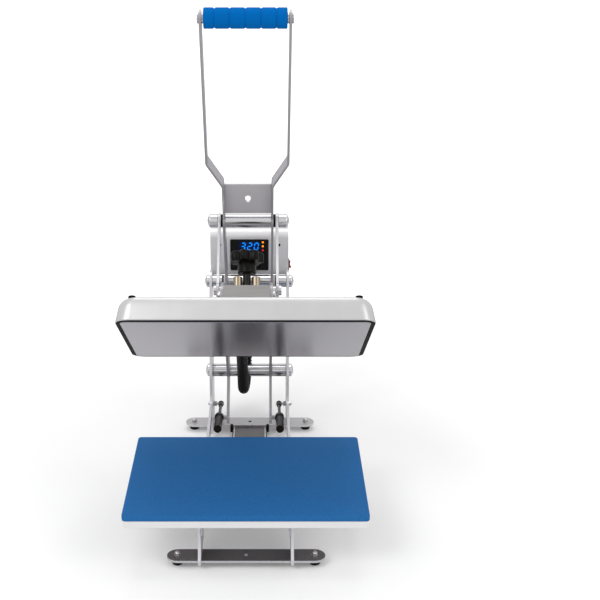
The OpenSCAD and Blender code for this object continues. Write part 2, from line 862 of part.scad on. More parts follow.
module controller_board() {
    mid_h = (panel_low_h + panel_top_h) / 2;
    color("darkgreen") {
        on_panel(0, mid_h) translate([-board_w / 2, -board_h / 2,
            panel_t + board_back]) cube([board_w, board_h, board_t]);
        for (x = [-1, 1], h = [-1, 1]) on_panel(x * (board_w / 2 - post_in),
            mid_h + h * (board_h / 2 - post_in))
            translate([0, 0, panel_t]) cylinder(d = post_d, h = board_back);
        for (i = [-1, 0, 1]) on_panel(i * button_pitch, button_mid_h)
            translate([-switch_w / 2, -switch_w / 2,
                panel_t + board_back - switch_h]) cube([switch_w, switch_w, switch_h]);
    }
}

module box_screws() {
    color("black") for (s = [-1, 1]) translate([s * box_screw_x, hinge_y - box_front_f,
        box_bottom_h + box_screw_rise])
        rotate([90, 0, 0]) {
            cylinder(d1 = box_screw_d, d2 = box_screw_d * 0.7, h = box_screw_t);
            translate([0, 0, -box_screw_d]) cylinder(d = box_screw_d / 2, h = box_screw_d);
        }
}

module rocker_frame() {
    x = box_w / 2;
    color("black") difference() {
        union() {
            block_at([x, x + rocker_frame_t], [rocker_f - rocker_frame_w / 2,
                rocker_f + rocker_frame_w / 2],
                [rocker_h - rocker_frame_len / 2, rocker_h + rocker_frame_len / 2]);
            block_at([x - rocker_depth, x], [rocker_f - rocker_w / 2 - rocker_sleeve,
                rocker_f + rocker_w / 2 + rocker_sleeve],
                [rocker_h - rocker_len / 2 - rocker_sleeve, rocker_h + rocker_len / 2 + rocker_sleeve]);
        }
        block_at([x - rocker_depth + rocker_sleeve, x + rocker_frame_t + overrun],
            [rocker_f - rocker_w / 2, rocker_f + rocker_w / 2],
            [rocker_h - rocker_len / 2, rocker_h + rocker_len / 2]);
    }
}

module power_rocker() {
    w = rocker_w - 2 * face_gap;
    half = rocker_len / 2 - rocker_clear;
    color("red") translate([rocker_pivot_x, hinge_y - rocker_f + w / 2, rocker_h]) rotate([0,
        -rocker_tilt, 0])
        rotate([90, 0, 0]) linear_extrude(w) {
            polygon([[0, -half * 0.6], [rocker_face, -half], [rocker_face + rocker_swell, -half],
                [rocker_face, 0],
                [rocker_face + rocker_swell, half], [rocker_face, half], [0, half * 0.6]]);
            circle(half * 0.6);
        }
}

module mains_inlet() {
    color("black") difference() {
        union() {
            block_at([inlet_x - inlet_w / 2, inlet_x + inlet_w / 2], [box_rear_f - inlet_flange_t,
                box_rear_f],
                [inlet_mid_h - inlet_h / 2, inlet_mid_h + inlet_h / 2]);
            block_at([inlet_x - inlet_body_w / 2, inlet_x + inlet_body_w / 2], [box_rear_f,
                box_rear_f + inlet_depth],
                [inlet_mid_h - inlet_body_h / 2, inlet_mid_h + inlet_body_h / 2]);
        }
        block_at([inlet_x - inlet_socket_w / 2, inlet_x + inlet_socket_w / 2],
            [box_rear_f - inlet_flange_t - overrun, box_rear_f + inlet_depth - inlet_flange_t],
            [inlet_mid_h - inlet_socket_h / 2, inlet_mid_h + inlet_socket_h / 2]);
    }
    color("silver") for (i = [-1, 0, 1]) block_at([inlet_x + i * inlet_pin_pitch - inlet_pin_w / 2,
        inlet_x + i * inlet_pin_pitch + inlet_pin_w / 2],
        [box_rear_f + inlet_flange_t, box_rear_f + inlet_depth - inlet_flange_t],
        [inlet_mid_h - inlet_pin_w, inlet_mid_h + inlet_pin_w]);
}

// Arm

module arm_view() {
    link_boss = link_pin_closed - [0, link_boss_drop];
    mid = arm_pivot + arm_mid;
    nose = [pad_centre_f, block_mid_h];
    difference() {
        union() {
            lobed_bar(arm_pivot, arm_boss_r, mid, arm_mid_r);
            lobed_bar(mid, arm_mid_r, link_boss, arm_link_r);
            lobed_bar(link_boss, arm_link_r, nose, arm_nose_r);
            lobed_bar(arm_pivot, arm_boss_r, strut_pivot_closed, tail_r);
        }
        translate(arm_pivot) circle(d = shaft_d + 2 * run_gap);
        for (s = [-1, 1]) translate([pad_centre_f + s * block_bolt_spacing / 2,
            block_mid_h]) circle(d = block_bolt_d);
    }
}

module arm_plate_right() {
    color("gray") arm_open() {
        plate_across(arm_in, arm_t) arm_view();
        bar_across(strut_pivot_closed, tail_stud_d, arm_out, strut_x - collar_d / 2 - face_gap);
    }
}

module arm_plate_left() {
    mirror([1, 0, 0]) arm_plate_right();
}

module arm_centre_sleeve() {
    color("silver") sleeve_across(arm_pivot, sleeve_d, shaft_d + 2 * run_gap, -arm_in, arm_in);
}

module nut_block() {
    color("darkgray") arm_open() difference() {
        block_at([-arm_in, arm_in], [pad_centre_f - block_d / 2, pad_centre_f + block_d / 2],
            [block_low_h, block_top_h]);
        translate([0, hinge_y - pad_centre_f, block_low_h - overrun])
            cylinder(d = screw_d + 2 * run_gap, h = block_h + 2 * overrun);
        for (s = [-1, 1]) translate([s * guide_spacing / 2, hinge_y - pad_centre_f,
            block_low_h - overrun])
            cylinder(d = guide_bush_d, h = block_h + 2 * overrun);
        both_sides() for (s = [-1, 1])
            bar_across([pad_centre_f + s * block_bolt_spacing / 2, block_mid_h], block_bolt_d,
                arm_in - block_bolt_len, arm_in + overrun);
    }
}

module guide_bushes() {
    color("goldenrod") arm_open() for (s = [-1, 1])
        translate([s * guide_spacing / 2, hinge_y - pad_centre_f, block_low_h]) difference() {
            cylinder(d = guide_bush_d, h = block_h + guide_bush_show);
            translate([0, 0, -overrun]) cylinder(d = guide_pin_d + 2 * run_gap, h = total_height);
        }
}

module block_bolts() {
    color("silver") arm_open() both_sides() for (s = [-1, 1]) {
        at = [pad_centre_f + s * block_bolt_spacing / 2, block_mid_h];
        bar_across(at, block_bolt_d, arm_in - block_bolt_len, arm_out);
        bar_across(at, block_bolt_head_d, arm_out, arm_out + block_bolt_head_t);
    }
}

// Heated platen

module at_casing(h) {
    arm_open() translate([0, hinge_y - pad_centre_f, h]) children();
}

module casing_solid(inset, low, high) {
    hull() for (i = [0:len(casing_levels) - 1], x = [-1, 1], y = [-1, 1])
        translate([x * (casing_w / 2 - side_insets[i] - casing_corner_r),
            y * (casing_d / 2 - front_insets[i] - casing_corner_r),
            low + (high - low) * casing_levels[i]])
            cylinder(r = casing_corner_r - inset, h = skin, $fn = 24);
}

module upper_casing() {
    color("silver") difference() {
        at_casing(0) casing_solid(0, casing_bottom_h + skirt_lift, casing_top_h - skin);
        at_casing(0) casing_solid(casing_wall, casing_bottom_h + skirt_lift - overrun,
            casing_top_h - casing_wall);
        arm_open() gland_bar(gland_neck_d, gland_seat_f - overrun, gland_seat_f + 2 * gland_neck_d);
        arm_open() gland_bar(gland_nut_w + 2 * overrun, gland_seat_f - 2 * overrun - front_insets[2],
            gland_seat_f);
    }
}

module casing_caps() {
    color("black") for (x = [-1, 1]) at_casing(casing_top_h) translate([x * (casing_w / 2 - cap_inset),
        cap_setback - casing_d / 2, 0]) cylinder(d = cap_d, h = cap_t);
}

module gasket() {
    color("black") at_casing(casing_bottom_h + gasket_lift) linear_extrude(skirt_lift - gasket_lift)
        difference() {
        rounded_rect(casing_w - 2 * gasket_inset, casing_d - 2 * gasket_inset,
            casing_corner_r - gasket_inset);
        rounded_rect(heater_w, heater_d, heater_corner_r);
    }
}

module element_solid() {
    span = element_pitch * (element_rows - 1) / 2;
    for (i = [0:element_rows - 1]) translate([-element_run / 2, i * element_pitch - span, 0])
        rotate([0, 90, 0]) cylinder(d = element_d, h = element_run);
    for (i = [0:element_rows - 2]) translate([(i % 2 == 0 ? 1 : -1) * element_run / 2,
        (i + 0.5) * element_pitch - span, 0])
        rotate([0, 0, i % 2 == 0 ? -90 : 90]) rotate_extrude(angle = 180) translate([element_pitch /
            2, 0]) circle(d = element_d);
}

module heated_plate() {
    color("darkgray") difference() {
        at_casing(casing_bottom_h) linear_extrude(heater_t) rounded_rect(heater_w, heater_d,
            heater_corner_r);
        at_casing(casing_bottom_h + heater_t) element_solid();
    }
}

module heating_element() {
    color("dimgray") at_casing(casing_bottom_h + heater_t) element_solid();
}

module insulation() {
    color("wheat") difference() {
        at_casing(casing_bottom_h + heater_t) linear_extrude(insulation_t)
            rounded_rect(heater_w - insulation_in, heater_d - insulation_in, heater_corner_r);
        at_casing(casing_bottom_h + heater_t) element_solid();
    }
}

module float_plate() {
    color("silver") at_casing(casing_top_h) {
        linear_extrude(float_plate_t) rounded_rect(float_plate_w, float_plate_d, cap_d / 2);
        translate([0, 0, float_plate_t]) difference() {
            cylinder(d = thrust_seat_d, h = thrust_seat_h);
            translate([0, 0, -overrun]) cylinder(d = screw_d + 2 * run_gap,
                h = thrust_seat_h + 2 * overrun);
        }
        for (s = [-1, 1]) translate([s * guide_spacing / 2, 0, float_plate_t])
            cylinder(d = guide_pin_d, h = block_rise + guide_bush_show - guide_pin_short - float_plate_t);
    }
}

// Round bar along the machine at the gland's place on the casing
module gland_bar(d, f_low, f_high) {
    translate([gland_heater_x, hinge_y - f_low, gland_heater_h]) rotate([90, 0, 0]) cylinder(d = d,
        h = f_high - f_low);
}

module conduit_gland_heater() {
    color("black") arm_open() {
        gland_bar(gland_nut_w, gland_seat_f - gland_nut_t, gland_seat_f, $fn = 6);
        gland_bar(gland_neck_d, gland_seat_f, gland_seat_f + gland_inner_len);
    }
}

// Pressure screw and knob

module pressure_screw() {
    color("dimgray") screw_frame() translate([0, 0, float_plate_t + face_gap])
        cylinder(d = screw_d, h = block_rise + screw_show + screw_in_knob - float_plate_t - face_gap);
}

module knob_lobes_view(inset) {
    circle(knob_d / 2 * knob_core_share - inset);
    for (i = [0:knob_lobes - 1]) rotate(i * 360 / knob_lobes)
        translate([(knob_d - knob_lobe_d) / 2, 0]) circle(knob_lobe_d / 2 - inset);
}

module pressure_knob() {
    color("black") screw_frame() translate([0, 0, block_rise + screw_show]) {
        difference() {
            cylinder(d = knob_hub_d, h = knob_hub_h);
            translate([0, 0, -overrun]) cylinder(d = screw_d, h = screw_in_knob + overrun);
        }
        translate([0, 0, knob_hub_h]) linear_extrude(knob_head_h - knob_edge_r) knob_lobes_view(0);
        translate([0, 0, knob_hub_h + knob_head_h - knob_edge_r]) linear_extrude(knob_edge_r)
            knob_lobes_view(knob_edge_r / 2);
    }
}

// Handle

// Edge of the bent bar, offset outward from its middle line
function bend_edge(out) = let(r = bend_r + strap_t / 2, t = r * tan(bend_angle / 2),
    low = [strap_mid_low + r, bend_start - t], high = [strap_mid_high - r, bend_end + t])
    concat([[strap_mid_low + out, 0]], arc(low, r - out, 180, 180 - bend_angle), arc(high, r + out,
        -bend_angle, 0),
        [[strap_mid_high + out, handle_len]]);

function back(list) = [for (i = [len(list) - 1:-1:0]) list[i]];

module handle_bar_right() {
    color("gray") difference() {
        union() {
            handle_frame() translate([0, 0, -strap_w / 2]) linear_extrude(strap_w)
                polygon(concat(bend_edge(strap_t / 2), back(bend_edge(-strap_t / 2))));
            handle_frame() translate([strap_mid_high - strap_t / 2, handle_len, 0]) rotate([0, 90, 0])
                cylinder(d = strap_w, h = strap_t);
            plate_across(handle_in, strap_t) lobed_bar(lever_pivot, lever_boss_r, link_shaft_at,
                link_boss_r);
        }
        bar_across(link_shaft_at, shaft_d, handle_in - overrun, handle_out + overrun);
        bar_across(lever_pivot, bush_neck_d, handle_in - overrun, handle_out + overrun);
        handle_frame() translate([0, handle_len, 0]) rotate([0, 90, 0]) cylinder(d = grip_stud_d,
            h = handle_w);
    }
}

module handle_bar_left() {
    mirror([1, 0, 0]) handle_bar_right();
}

module yoke_plate() {
    half = (yoke_slot_len - yoke_slot_w) / 2;
    color("gray") handle_frame() translate([0, yoke_start, -yoke_t / 2]) difference() {
        translate([-handle_in, 0, 0]) cube([2 * handle_in, yoke_len, yoke_t]);
        translate([0, yoke_len / 2, -overrun]) linear_extrude(yoke_t + 2 * overrun) {
            square([yoke_slot_w, 2 * half], center = true);
            for (s = [-1, 1]) translate([0, s * half]) circle(d = yoke_slot_w);
        }
    }
}

module handle_sleeves() {
    color("silver") {
        sleeve_across(link_shaft_at, sleeve_d, shaft_d, -handle_in, handle_in);
        sleeve_across(lever_pivot, sleeve_d, shaft_d + 2 * run_gap, -handle_in, handle_in);
    }
}

module link_shaft() {
    end = link_out + face_gap;
    color("silver") {
        bar_across(link_shaft_at, shaft_d, -end, end);
        both_sides() translate([end, hinge_y - link_shaft_at[0], link_shaft_at[1]]) rotate([0, 90, 0]) {
            cylinder(d = sleeve_d, h = cap_len - dome_rise);
            translate([0, 0, cap_len - dome_rise]) dome();
        }
    }
}

module lever_bushes() {
    color("whitesmoke") both_sides() difference() {
        union() {
            bar_across(lever_pivot, bush_neck_d, handle_in, handle_out);
            bar_across(lever_pivot, bush_flange_d, handle_out, handle_out + bush_flange_t);
        }
        bar_across(lever_pivot, shaft_d + 2 * run_gap, handle_in - overrun,
            handle_out + bush_flange_t + overrun);
    }
}

module pivot_washers() {
    color("black") both_sides() {
        sleeve_across(link_shaft_at, washer_d, shaft_d, handle_out, link_in - face_gap);
        sleeve_across(lever_pivot, washer_d, shaft_d + 2 * run_gap, handle_out + bush_flange_t,
            lever_stack_out);
    }
}

module grip_rod() {
    inner = handle_w / 2 - strap_t;
    color("silver") handle_frame() translate([0, handle_len, 0]) rotate([0, 90, 0]) {
        translate([0, 0, -inner]) cylinder(d = grip_bore_d, h = 2 * inner);
        translate([0, 0, -handle_w / 2]) cylinder(d = grip_stud_d, h = handle_w);
        for (s = [-1, 1]) scale([1, 1, s]) {
            translate([0, 0, handle_w / 2]) cylinder(d = grip_bolt_d, h = grip_bolt_t);
            translate([0, 0, grip_len / 2]) cylinder(d = grip_bolt_d, h = inner - grip_len / 2);
        }
    }
}

module foam_grip() {
    color("royalblue") handle_frame() translate([-grip_len / 2, handle_len, 0]) rotate([0, 90,
        0]) difference() {
        cylinder(d = grip_d, h = grip_len);
        translate([0, 0, -overrun]) cylinder(d = grip_bore_d, h = grip_len + 2 * overrun);
        for (i = groove_shares) translate([0, 0, grip_len * (0.5 + i) - groove_w / 2]) difference() {
            cylinder(d = grip_d + overrun, h = groove_w);
            translate([0, 0, -overrun]) cylinder(d = grip_d - 2 * groove_depth,
                h = groove_w + 2 * overrun);
        }
    }
}

// Links

module links() {
    a = atan2(link_pin_at[1] - link_shaft_at[1], link_pin_at[0] - link_shaft_at[0]);
    len_link = norm(link_pin_at - link_shaft_at);
    color("whitesmoke") both_sides() plate_across(link_in, link_t) difference() {
        union() {
            for (p = [link_shaft_at, link_pin_at]) translate(p) circle(link_eye_r);
            translate(link_shaft_at) rotate(a) translate([0, -link_shank_w / 2]) square([len_link,
                link_shank_w]);
        }
        translate(link_shaft_at) circle(d = shaft_d + 2 * run_gap);
        translate(link_pin_at) circle(d = pin_neck_d);
    }
}

module link_pins() {
    color("silver") both_sides() {
        bar_across(link_pin_at, pin_bush_d, arm_out + face_gap, link_in);
        bar_across(link_pin_at, pin_neck_d, link_in, link_out);
        bar_across(link_pin_at, pin_head_d, link_out, link_out + pin_head_t);
    }
}

// Gas struts, with Z running forward along the strut from its ball

module strut_frame() {
    both_sides() translate([strut_x, hinge_y - ball_at[0], ball_at[1]]) rotate([90 - strut_lean, 0,
        0]) children();
}

module strut_rods() {
    color("dimgray") strut_frame() difference() {
        union() {
            rotate([0, 0, 90]) sphere(d = socket_d);
            cylinder(d = ferrule_d, h = ferrule_len);
            cylinder(d = strut_rod_d, h = strut_open_len + rod_past);
        }
        translate([-socket_d, 0, 0]) rotate([0, 90, 0]) cylinder(d = ball_d + 2 * run_gap,
            h = 2 * socket_d);
    }
}

module strut_tubes() {
    color("black") strut_frame() translate([0, 0, strut_open_len]) difference() {
        union() {
            translate([0, 0, -collar_len / 2]) cylinder(d = collar_d, h = collar_len);
            cylinder(d = strut_tube_d, h = strut_tube_reach);
        }
        translate([0, 0, -collar_len]) cylinder(d = strut_rod_d + 2 * run_gap, h = strut_tube_reach);
        translate([0, 0, gland_len]) cylinder(d = strut_tube_d - 2 * strut_wall,
            h = strut_tube_reach - gland_len - strut_wall);
    }
}

// Cable conduit

module conduit_gland_box() {
    low = box_bottom_h - bracket_t - gland_nut_t;
    color("black") translate([gland_x, hinge_y - gland_f, low]) {
        cylinder(d = gland_nut_w, h = gland_nut_t, $fn = 6);
        cylinder(d = gland_neck_d, h = gland_nut_t + bracket_t + gland_inner_len);
    }
}

function world(p) = [p[0], hinge_y - p[1], p[2]];

conduit_start_at = let(p = arm_pivot + turned([gland_seat_f - gland_nut_t - face_gap,
    gland_heater_h] - arm_pivot, arm_open_angle))
    [gland_heater_x, p[0], p[1]];
conduit_out = [0, -cos(arm_open_angle), -sin(arm_open_angle)];
conduit_end_at = [gland_x, gland_f, box_bottom_h - bracket_t - gland_nut_t];
fall_top = conduit_start_at + conduit_out * conduit_d;
rise_top = conduit_end_at - [0, 0, conduit_d];

function loop_at(p) = [gland_heater_x + p[0] * (gland_x - gland_heater_x), p[1], arm_pivot_h + p[2]];
function part_way(a, b, s) = a + [s[0] * (b[0] - a[0]), s[0] * (b[1] - a[1]), s[1] * (b[2] - a[2])];

conduit_route = concat([for (s = fall_shares) part_way(fall_top, loop_at(loop_points[0]), s)],
    [for (p = loop_points) loop_at(p)],
    [for (s = rise_shares) part_way(loop_at(loop_points[len(loop_points) - 1]), rise_top, s)]);
conduit_points = [for (p = concat([conduit_start_at - conduit_out * conduit_d, conduit_start_at,
    fall_top],
    conduit_route, [rise_top, conduit_end_at, conduit_end_at + [0, 0, conduit_d]])) world(p)];
spans = len(conduit_points) - 3;

function curve(a, b, c, d, t) = (2 * b + (c - a) * t + (2 * a - 5 * b + 4 * c - d) * t * t + (3 * b -
    a - 3 * c + d) * t * t * t) / 2;
function path_at(u) = let(i = min(floor(u), spans - 1), p = conduit_points) curve(p[i], p[i + 1],
    p[i + 2], p[i + 3], u - i);
function path_way(u) = let(a = max(0, u - path_step), b = min(spans,
    u + path_step)) unit(path_at(b) - path_at(a));
function ring(u, r) = let(c = path_at(u), t = path_way(u), n = unit(cross(t, [1, 0, 0])), m = cross(n, t))
    [for (k = [0:conduit_sides - 1]) c + r * (cos(k * 360 / conduit_sides) * m + sin(k * 360 /
        conduit_sides) * n)];

module conduit() {
    outer = spans * ribs_per_span * 2;
    inner = spans;
    n = conduit_sides;
    base = (outer + 1) * n;
    points = concat([for (i = [0:outer]) each ring(i / (2 * ribs_per_span),
        conduit_d / 2 - (i % 2 == 0 ? conduit_rib : 0))],
        [for (i = [0:inner]) each ring(i, conduit_bore / 2)]);
    faces = concat(
        [for (i = [0:outer - 1], k = [0:n - 1]) let(j = (k + 1) % n) [i * n + k, i * n + j,
            (i + 1) * n + k]],
        [for (i = [0:outer - 1], k = [0:n - 1]) let(j = (k + 1) % n) [i * n + j, (i + 1) * n + j,
            (i + 1) * n + k]],
        [for (i = [0:inner - 1], k = [0:n - 1]) let(j = (k + 1) % n) [base + i * n + k,
            base + (i + 1) * n + k, base + i * n + j]],
        [for (i = [0:inner - 1], k = [0:n - 1]) let(j = (k + 1) % n) [base + i * n + j,
            base + (i + 1) * n + k, base + (i + 1) * n + j]],
        [for (k = [0:n - 1]) let(j = (k + 1) % n) [k, base + k, j]],
        [for (k = [0:n - 1]) let(j = (k + 1) % n) [j, base + k, base + j]],
        [for (k = [0:n - 1]) let(j = (k + 1) % n) [outer * n + k, outer * n + j, base + inner * n + k]],
        [for (k = [0:n - 1]) let(j = (k + 1) % n) [outer * n + j, base + inner * n + j,
            base + inner * n + k]]);
    color("black") polyhedron(points, faces);
}

side_plate_left();
side_plate_right();
front_foot_bar();
rear_foot_bar();
rubber_feet();
foot_screws();
base_tongue();
stop_bumpers();
lower_platen();
silicone_pad();
platen_brackets();
hinge_shafts();
shaft_spacers();
dome_nuts();
ball_studs();
box_bracket();
control_box_shell();
control_box_back();
control_panel();
display_window();
indicator_lamps();
rocker_frame();
mains_inlet();
controller_board();
box_screws();
conduit_gland_box();
conduit();
button_set();
button_up();
button_down();
power_rocker();
arm_plate_left();
arm_plate_right();
arm_centre_sleeve();
nut_block();
guide_bushes();
block_bolts();
upper_casing();
casing_caps();
gasket();
heated_plate();
heating_element();
insulation();
float_plate();
conduit_gland_heater();
pressure_screw();
pressure_knob();
handle_bar_left();
handle_bar_right();
yoke_plate();
handle_sleeves();
link_shaft();
lever_bushes();
pivot_washers();
grip_rod();
foam_grip();
links();
link_pins();
strut_rods();
strut_tubes();
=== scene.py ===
import json
import math
import bmesh
import bpy
from mathutils import Matrix, Vector


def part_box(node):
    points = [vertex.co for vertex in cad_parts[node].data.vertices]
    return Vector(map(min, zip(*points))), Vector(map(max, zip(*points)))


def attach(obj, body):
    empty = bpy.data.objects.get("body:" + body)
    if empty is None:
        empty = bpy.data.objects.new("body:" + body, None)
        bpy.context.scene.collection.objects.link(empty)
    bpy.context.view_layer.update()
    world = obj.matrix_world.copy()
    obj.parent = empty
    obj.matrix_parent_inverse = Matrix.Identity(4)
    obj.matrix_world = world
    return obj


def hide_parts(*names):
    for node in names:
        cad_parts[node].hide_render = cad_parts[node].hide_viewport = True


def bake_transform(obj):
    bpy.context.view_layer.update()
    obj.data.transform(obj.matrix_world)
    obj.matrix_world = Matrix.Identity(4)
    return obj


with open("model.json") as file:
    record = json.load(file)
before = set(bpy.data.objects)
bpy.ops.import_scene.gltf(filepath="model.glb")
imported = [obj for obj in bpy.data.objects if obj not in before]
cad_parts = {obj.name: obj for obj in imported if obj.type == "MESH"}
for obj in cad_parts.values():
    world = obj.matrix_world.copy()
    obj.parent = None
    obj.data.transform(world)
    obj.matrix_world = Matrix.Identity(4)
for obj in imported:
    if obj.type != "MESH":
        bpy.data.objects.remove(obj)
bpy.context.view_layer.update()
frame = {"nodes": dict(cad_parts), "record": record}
nodes = frame["nodes"]
carrier = {n: b for b, held in frame["record"]["behaviour"]["bodies"].items() for n in held}

MM = 0.001

# Sizes of the solids in millimetres: half widths run across the press, half depths front to back,
# places end in F when they are forward of the arm hinge and in H when they are up from the table
HINGE_Y = 202.85
ARM_PIVOT_H = 128.0
ARM_OPEN = math.radians(33.6)
PAD_CENTRE_F = 392.7
PAD_HALF_W = 197
PAD_HALF_D = 141
PAD_UNDER_H = 94.8
PAD_TOP_H = 104.8
CASING_HALF_W = 205.0
CASING_HALF_D = 144.0
CASING_BOTTOM_H = 105.3
CASING_TOP_H = 146.3
BLOCK_HALF_W = 44
BLOCK_RISE = 48
BLOCK_MID_H = 180.3
BOLT_REACH = 14
KNOB_SHOW = 25.5
FOAM_HALF = 66
FOAM_R = 16.5
FOAM_BORE_R = 7
BOX_BOTTOM_H = 316
BOX_FRONT_F = -46
PANEL_T = 2
PANEL_LIFT = 6.4
PANEL_TALL = 63
WINDOW_DROP = 4.6
WINDOW_HALF_TALL = 9
LAMP_X = 26.3
LAMP_PITCH = 8.2
FOOT_BAR_TOP_H = 15
FOOT_HALF_SPACING = 112
FRONT_BAR_F = 502
TONGUE_TOP_H = 11
TONGUE_END_F = 120
HEATER_GLAND_X = -12
BOX_GLAND_X = -6

SIDES = ((-1, "left"), (1, "right"))


def place(x, forward, up):
    """A point of the press: across, forward of the arm hinge and up from the table, in millimetres."""
    return Vector((x, HINGE_Y - forward, up)) * MM


# The arm and all that it carries are shaped closed and then swung open
hinge = place(0, 0, ARM_PIVOT_H)
open_arm = Matrix.Translation(hinge) @ Matrix.Rotation(-ARM_OPEN, 4, "X") @ Matrix.Translation(-hinge)
screw_foot = open_arm @ Matrix.Translation(place(0, PAD_CENTRE_F, CASING_TOP_H))

FACE_FORWARD = Matrix.Rotation(math.pi / 2, 4, "X")
LIE_ACROSS = Matrix.Rotation(math.pi / 2, 4, "Y")


def linked(name, data):
    """A new object in the scene."""
    made = bpy.data.objects.new(name, data)
    bpy.context.scene.collection.objects.link(made)
    return made


# Camera

lens = bpy.data.cameras.new("camera")
lens.lens = 72
lens.sensor_width = 36
lens.shift_x = 0.058
camera = linked("camera", lens)
camera.location = (0.031, -1.9987, 1.0685)
camera.rotation_euler = (math.radians(90 - 19.8), 0, 0)
bpy.context.scene.camera = camera
bpy.context.scene.view_settings.view_transform = "Standard"


# Finishes


def put(node, values):
    """Sets a node's inputs by their names."""
    for key, value in values.items():
        node.inputs[key].default_value = value


def blank_material(name):
    """A new material, its node tree and its shader."""
    m = bpy.data.materials.new(name)
    m.use_nodes = True
    return m, m.node_tree, m.node_tree.nodes["Principled BSDF"]


def new_finish(name, colour, metal, rough, mottle, mottle_size, bump, bump_size, **more):
    """A finish with a fine mottle in its colour and roughness and a fine relief, sizes in millimetres."""
    m, tree, skin = blank_material(name)
    link = tree.links.new
    where = tree.nodes.new("ShaderNodeTexCoord")
    turn = tree.nodes.new("ShaderNodeMapping")
    put(turn, {"Scale": more.get("stretch", (1, 1, 1))})
    link(where.outputs["Object"], turn.inputs["Vector"])
    cloud = tree.nodes.new("ShaderNodeTexNoise")
    put(cloud, {"Scale": 1000 / mottle_size, "Detail": 5})
    link(turn.outputs["Vector"], cloud.inputs["Vector"])
    shade = tree.nodes.new("ShaderNodeMapRange")
    put(shade, {"To Min": 1 - mottle, "To Max": 1 + mottle})
    link(cloud.outputs["Fac"], shade.inputs["Value"])
    tint = tree.nodes.new("ShaderNodeVectorMath")
    tint.operation = "SCALE"
    tint.inputs[0].default_value = colour
    link(shade.outputs["Result"], tint.inputs["Scale"])
    link(tint.outputs["Vector"], skin.inputs["Base Color"])
    polish = tree.nodes.new("ShaderNodeMapRange")
    wear = more.get("wear", 0.18)
    put(polish, {"To Min": rough * (1 - wear), "To Max": min(1, rough * (1 + wear))})
    link(cloud.outputs["Fac"], polish.inputs["Value"])
    link(polish.outputs["Result"], skin.inputs["Roughness"])
    grain = tree.nodes.new("ShaderNodeTexNoise")
    put(grain, {"Scale": 1000 / bump_size, "Detail": 3})
    link(turn.outputs["Vector"], grain.inputs["Vector"])
    relief = tree.nodes.new("ShaderNodeBump")
    put(relief, {"Strength": bump, "Distance": 0.0002})
    link(grain.outputs["Fac"], relief.inputs["Height"])
    link(relief.outputs["Normal"], skin.inputs["Normal"])
    put(skin, {"Metallic": metal, "Specular IOR Level": more.get("shine", 0.5),
               "Coat Weight": more.get("coat", 0), "Coat Roughness": 0.12})
    if "glow" in more:
        put(skin, {"Emission Color": (*colour, 1), "Emission Strength": more["glow"]})
    return m


def lacquered(name, colour, rough=0.32, metal=0.35):
    """A sprayed finish with a metal flake and a clear coat."""
    return new_finish(name, colour, metal, rough, 0.04, 30, 0.12, 0.5, coat=0.25)


def bright(name, colour, rough):
    """Bare or plated metal."""
    return new_finish(name, colour, 1.0, rough, 0.06, 6, 0.08, 0.35)


def moulded(name, colour, rough, bump=0.15, shine=0.18):
    """Moulded plastic or rubber."""
    return new_finish(name, colour, 0.0, rough, 0.12, 8, bump, 0.4, shine=shine)


def lit(name, colour, glow):
    """The lens of a lit lamp."""
    return new_finish(name, colour, 0.0, 0.2, 0.05, 2, 0.0, 0.5, glow=glow)


frame_lacquer = lacquered("frame_lacquer", (0.68, 0.67, 0.70))
arm_lacquer = lacquered("arm_lacquer", (0.37, 0.355, 0.38), 0.36, 0.4)
# The yoke's grey is its lacquer darkened with painted shade, set as the plate looks facing forward, away from
# the top light.
yoke_lacquer_and_painted_shade = lacquered("yoke_lacquer_and_painted_shade", (0.62, 0.60, 0.63), 0.4, 0.35)
link_lacquer = lacquered("link_lacquer", (0.58, 0.575, 0.60))
casing_lacquer = lacquered("casing_lacquer", (0.56, 0.555, 0.56), 0.34, 0.45)
box_lacquer = lacquered("box_lacquer", (0.73, 0.72, 0.73), 0.38, 0.3)
gunmetal = lacquered("gunmetal_lacquer", (0.10, 0.092, 0.096), 0.35, 0.5)
# The tongue's dark colour is painted shade: it stands for the shade under the rear foot bar.
tongue_painted_shade = lacquered("dark_tongue_lacquer", (0.10, 0.092, 0.092), 0.42, 0.4)
rear_bar_lacquer = lacquered("rear_bar_lacquer", (0.42, 0.41, 0.42), 0.33, 0.5)
# Bright metal on the foot bars' upright faces and the tongue beads: a painted highlight for their lit edges.
bar_rim_painted_highlight = bright("bar_rim_painted_highlight", (0.66, 0.65, 0.67), 0.28)
bracket_zinc = bright("bracket_zinc", (0.52, 0.515, 0.53), 0.32)
chrome = bright("shaft_chrome", (0.58, 0.575, 0.59), 0.16)
bolt_steel = bright("bolt_steel", (0.47, 0.46, 0.46), 0.22)
screw_steel = bright("screw_steel", (0.085, 0.082, 0.075), 0.32)
rod_steel = new_finish("strut_rod_steel", (0.03, 0.026, 0.026), 0.0, 0.3, 0.06, 6, 0.08, 0.35, shine=0.12)
block_steel = new_finish("block_steel", (0.29, 0.28, 0.275), 0.85, 0.36, 0.1, 5, 0.25, 0.5,
                         stretch=(0.1, 1, 1))
hot_face = new_finish("hot_face_coating", (0.305, 0.29, 0.325), 0.9, 0.18, 0.02, 60, 0.02, 0.5, wear=0.02)
platen_alloy = new_finish("platen_alloy", (0.88, 0.87, 0.875), 0.7, 0.42, 0.05, 8, 0.2, 0.4,
                          stretch=(0.08, 1, 1))
bush_brass = bright("bush_brass", (0.27, 0.225, 0.165), 0.3)
black_moulding = moulded("black_moulding", (0.005, 0.0045, 0.004), 0.30, 0.15, 0.09)
hose_moulding = moulded("hose_moulding", (0.0025, 0.0025, 0.0025), 0.3, 0.08, 0.08)
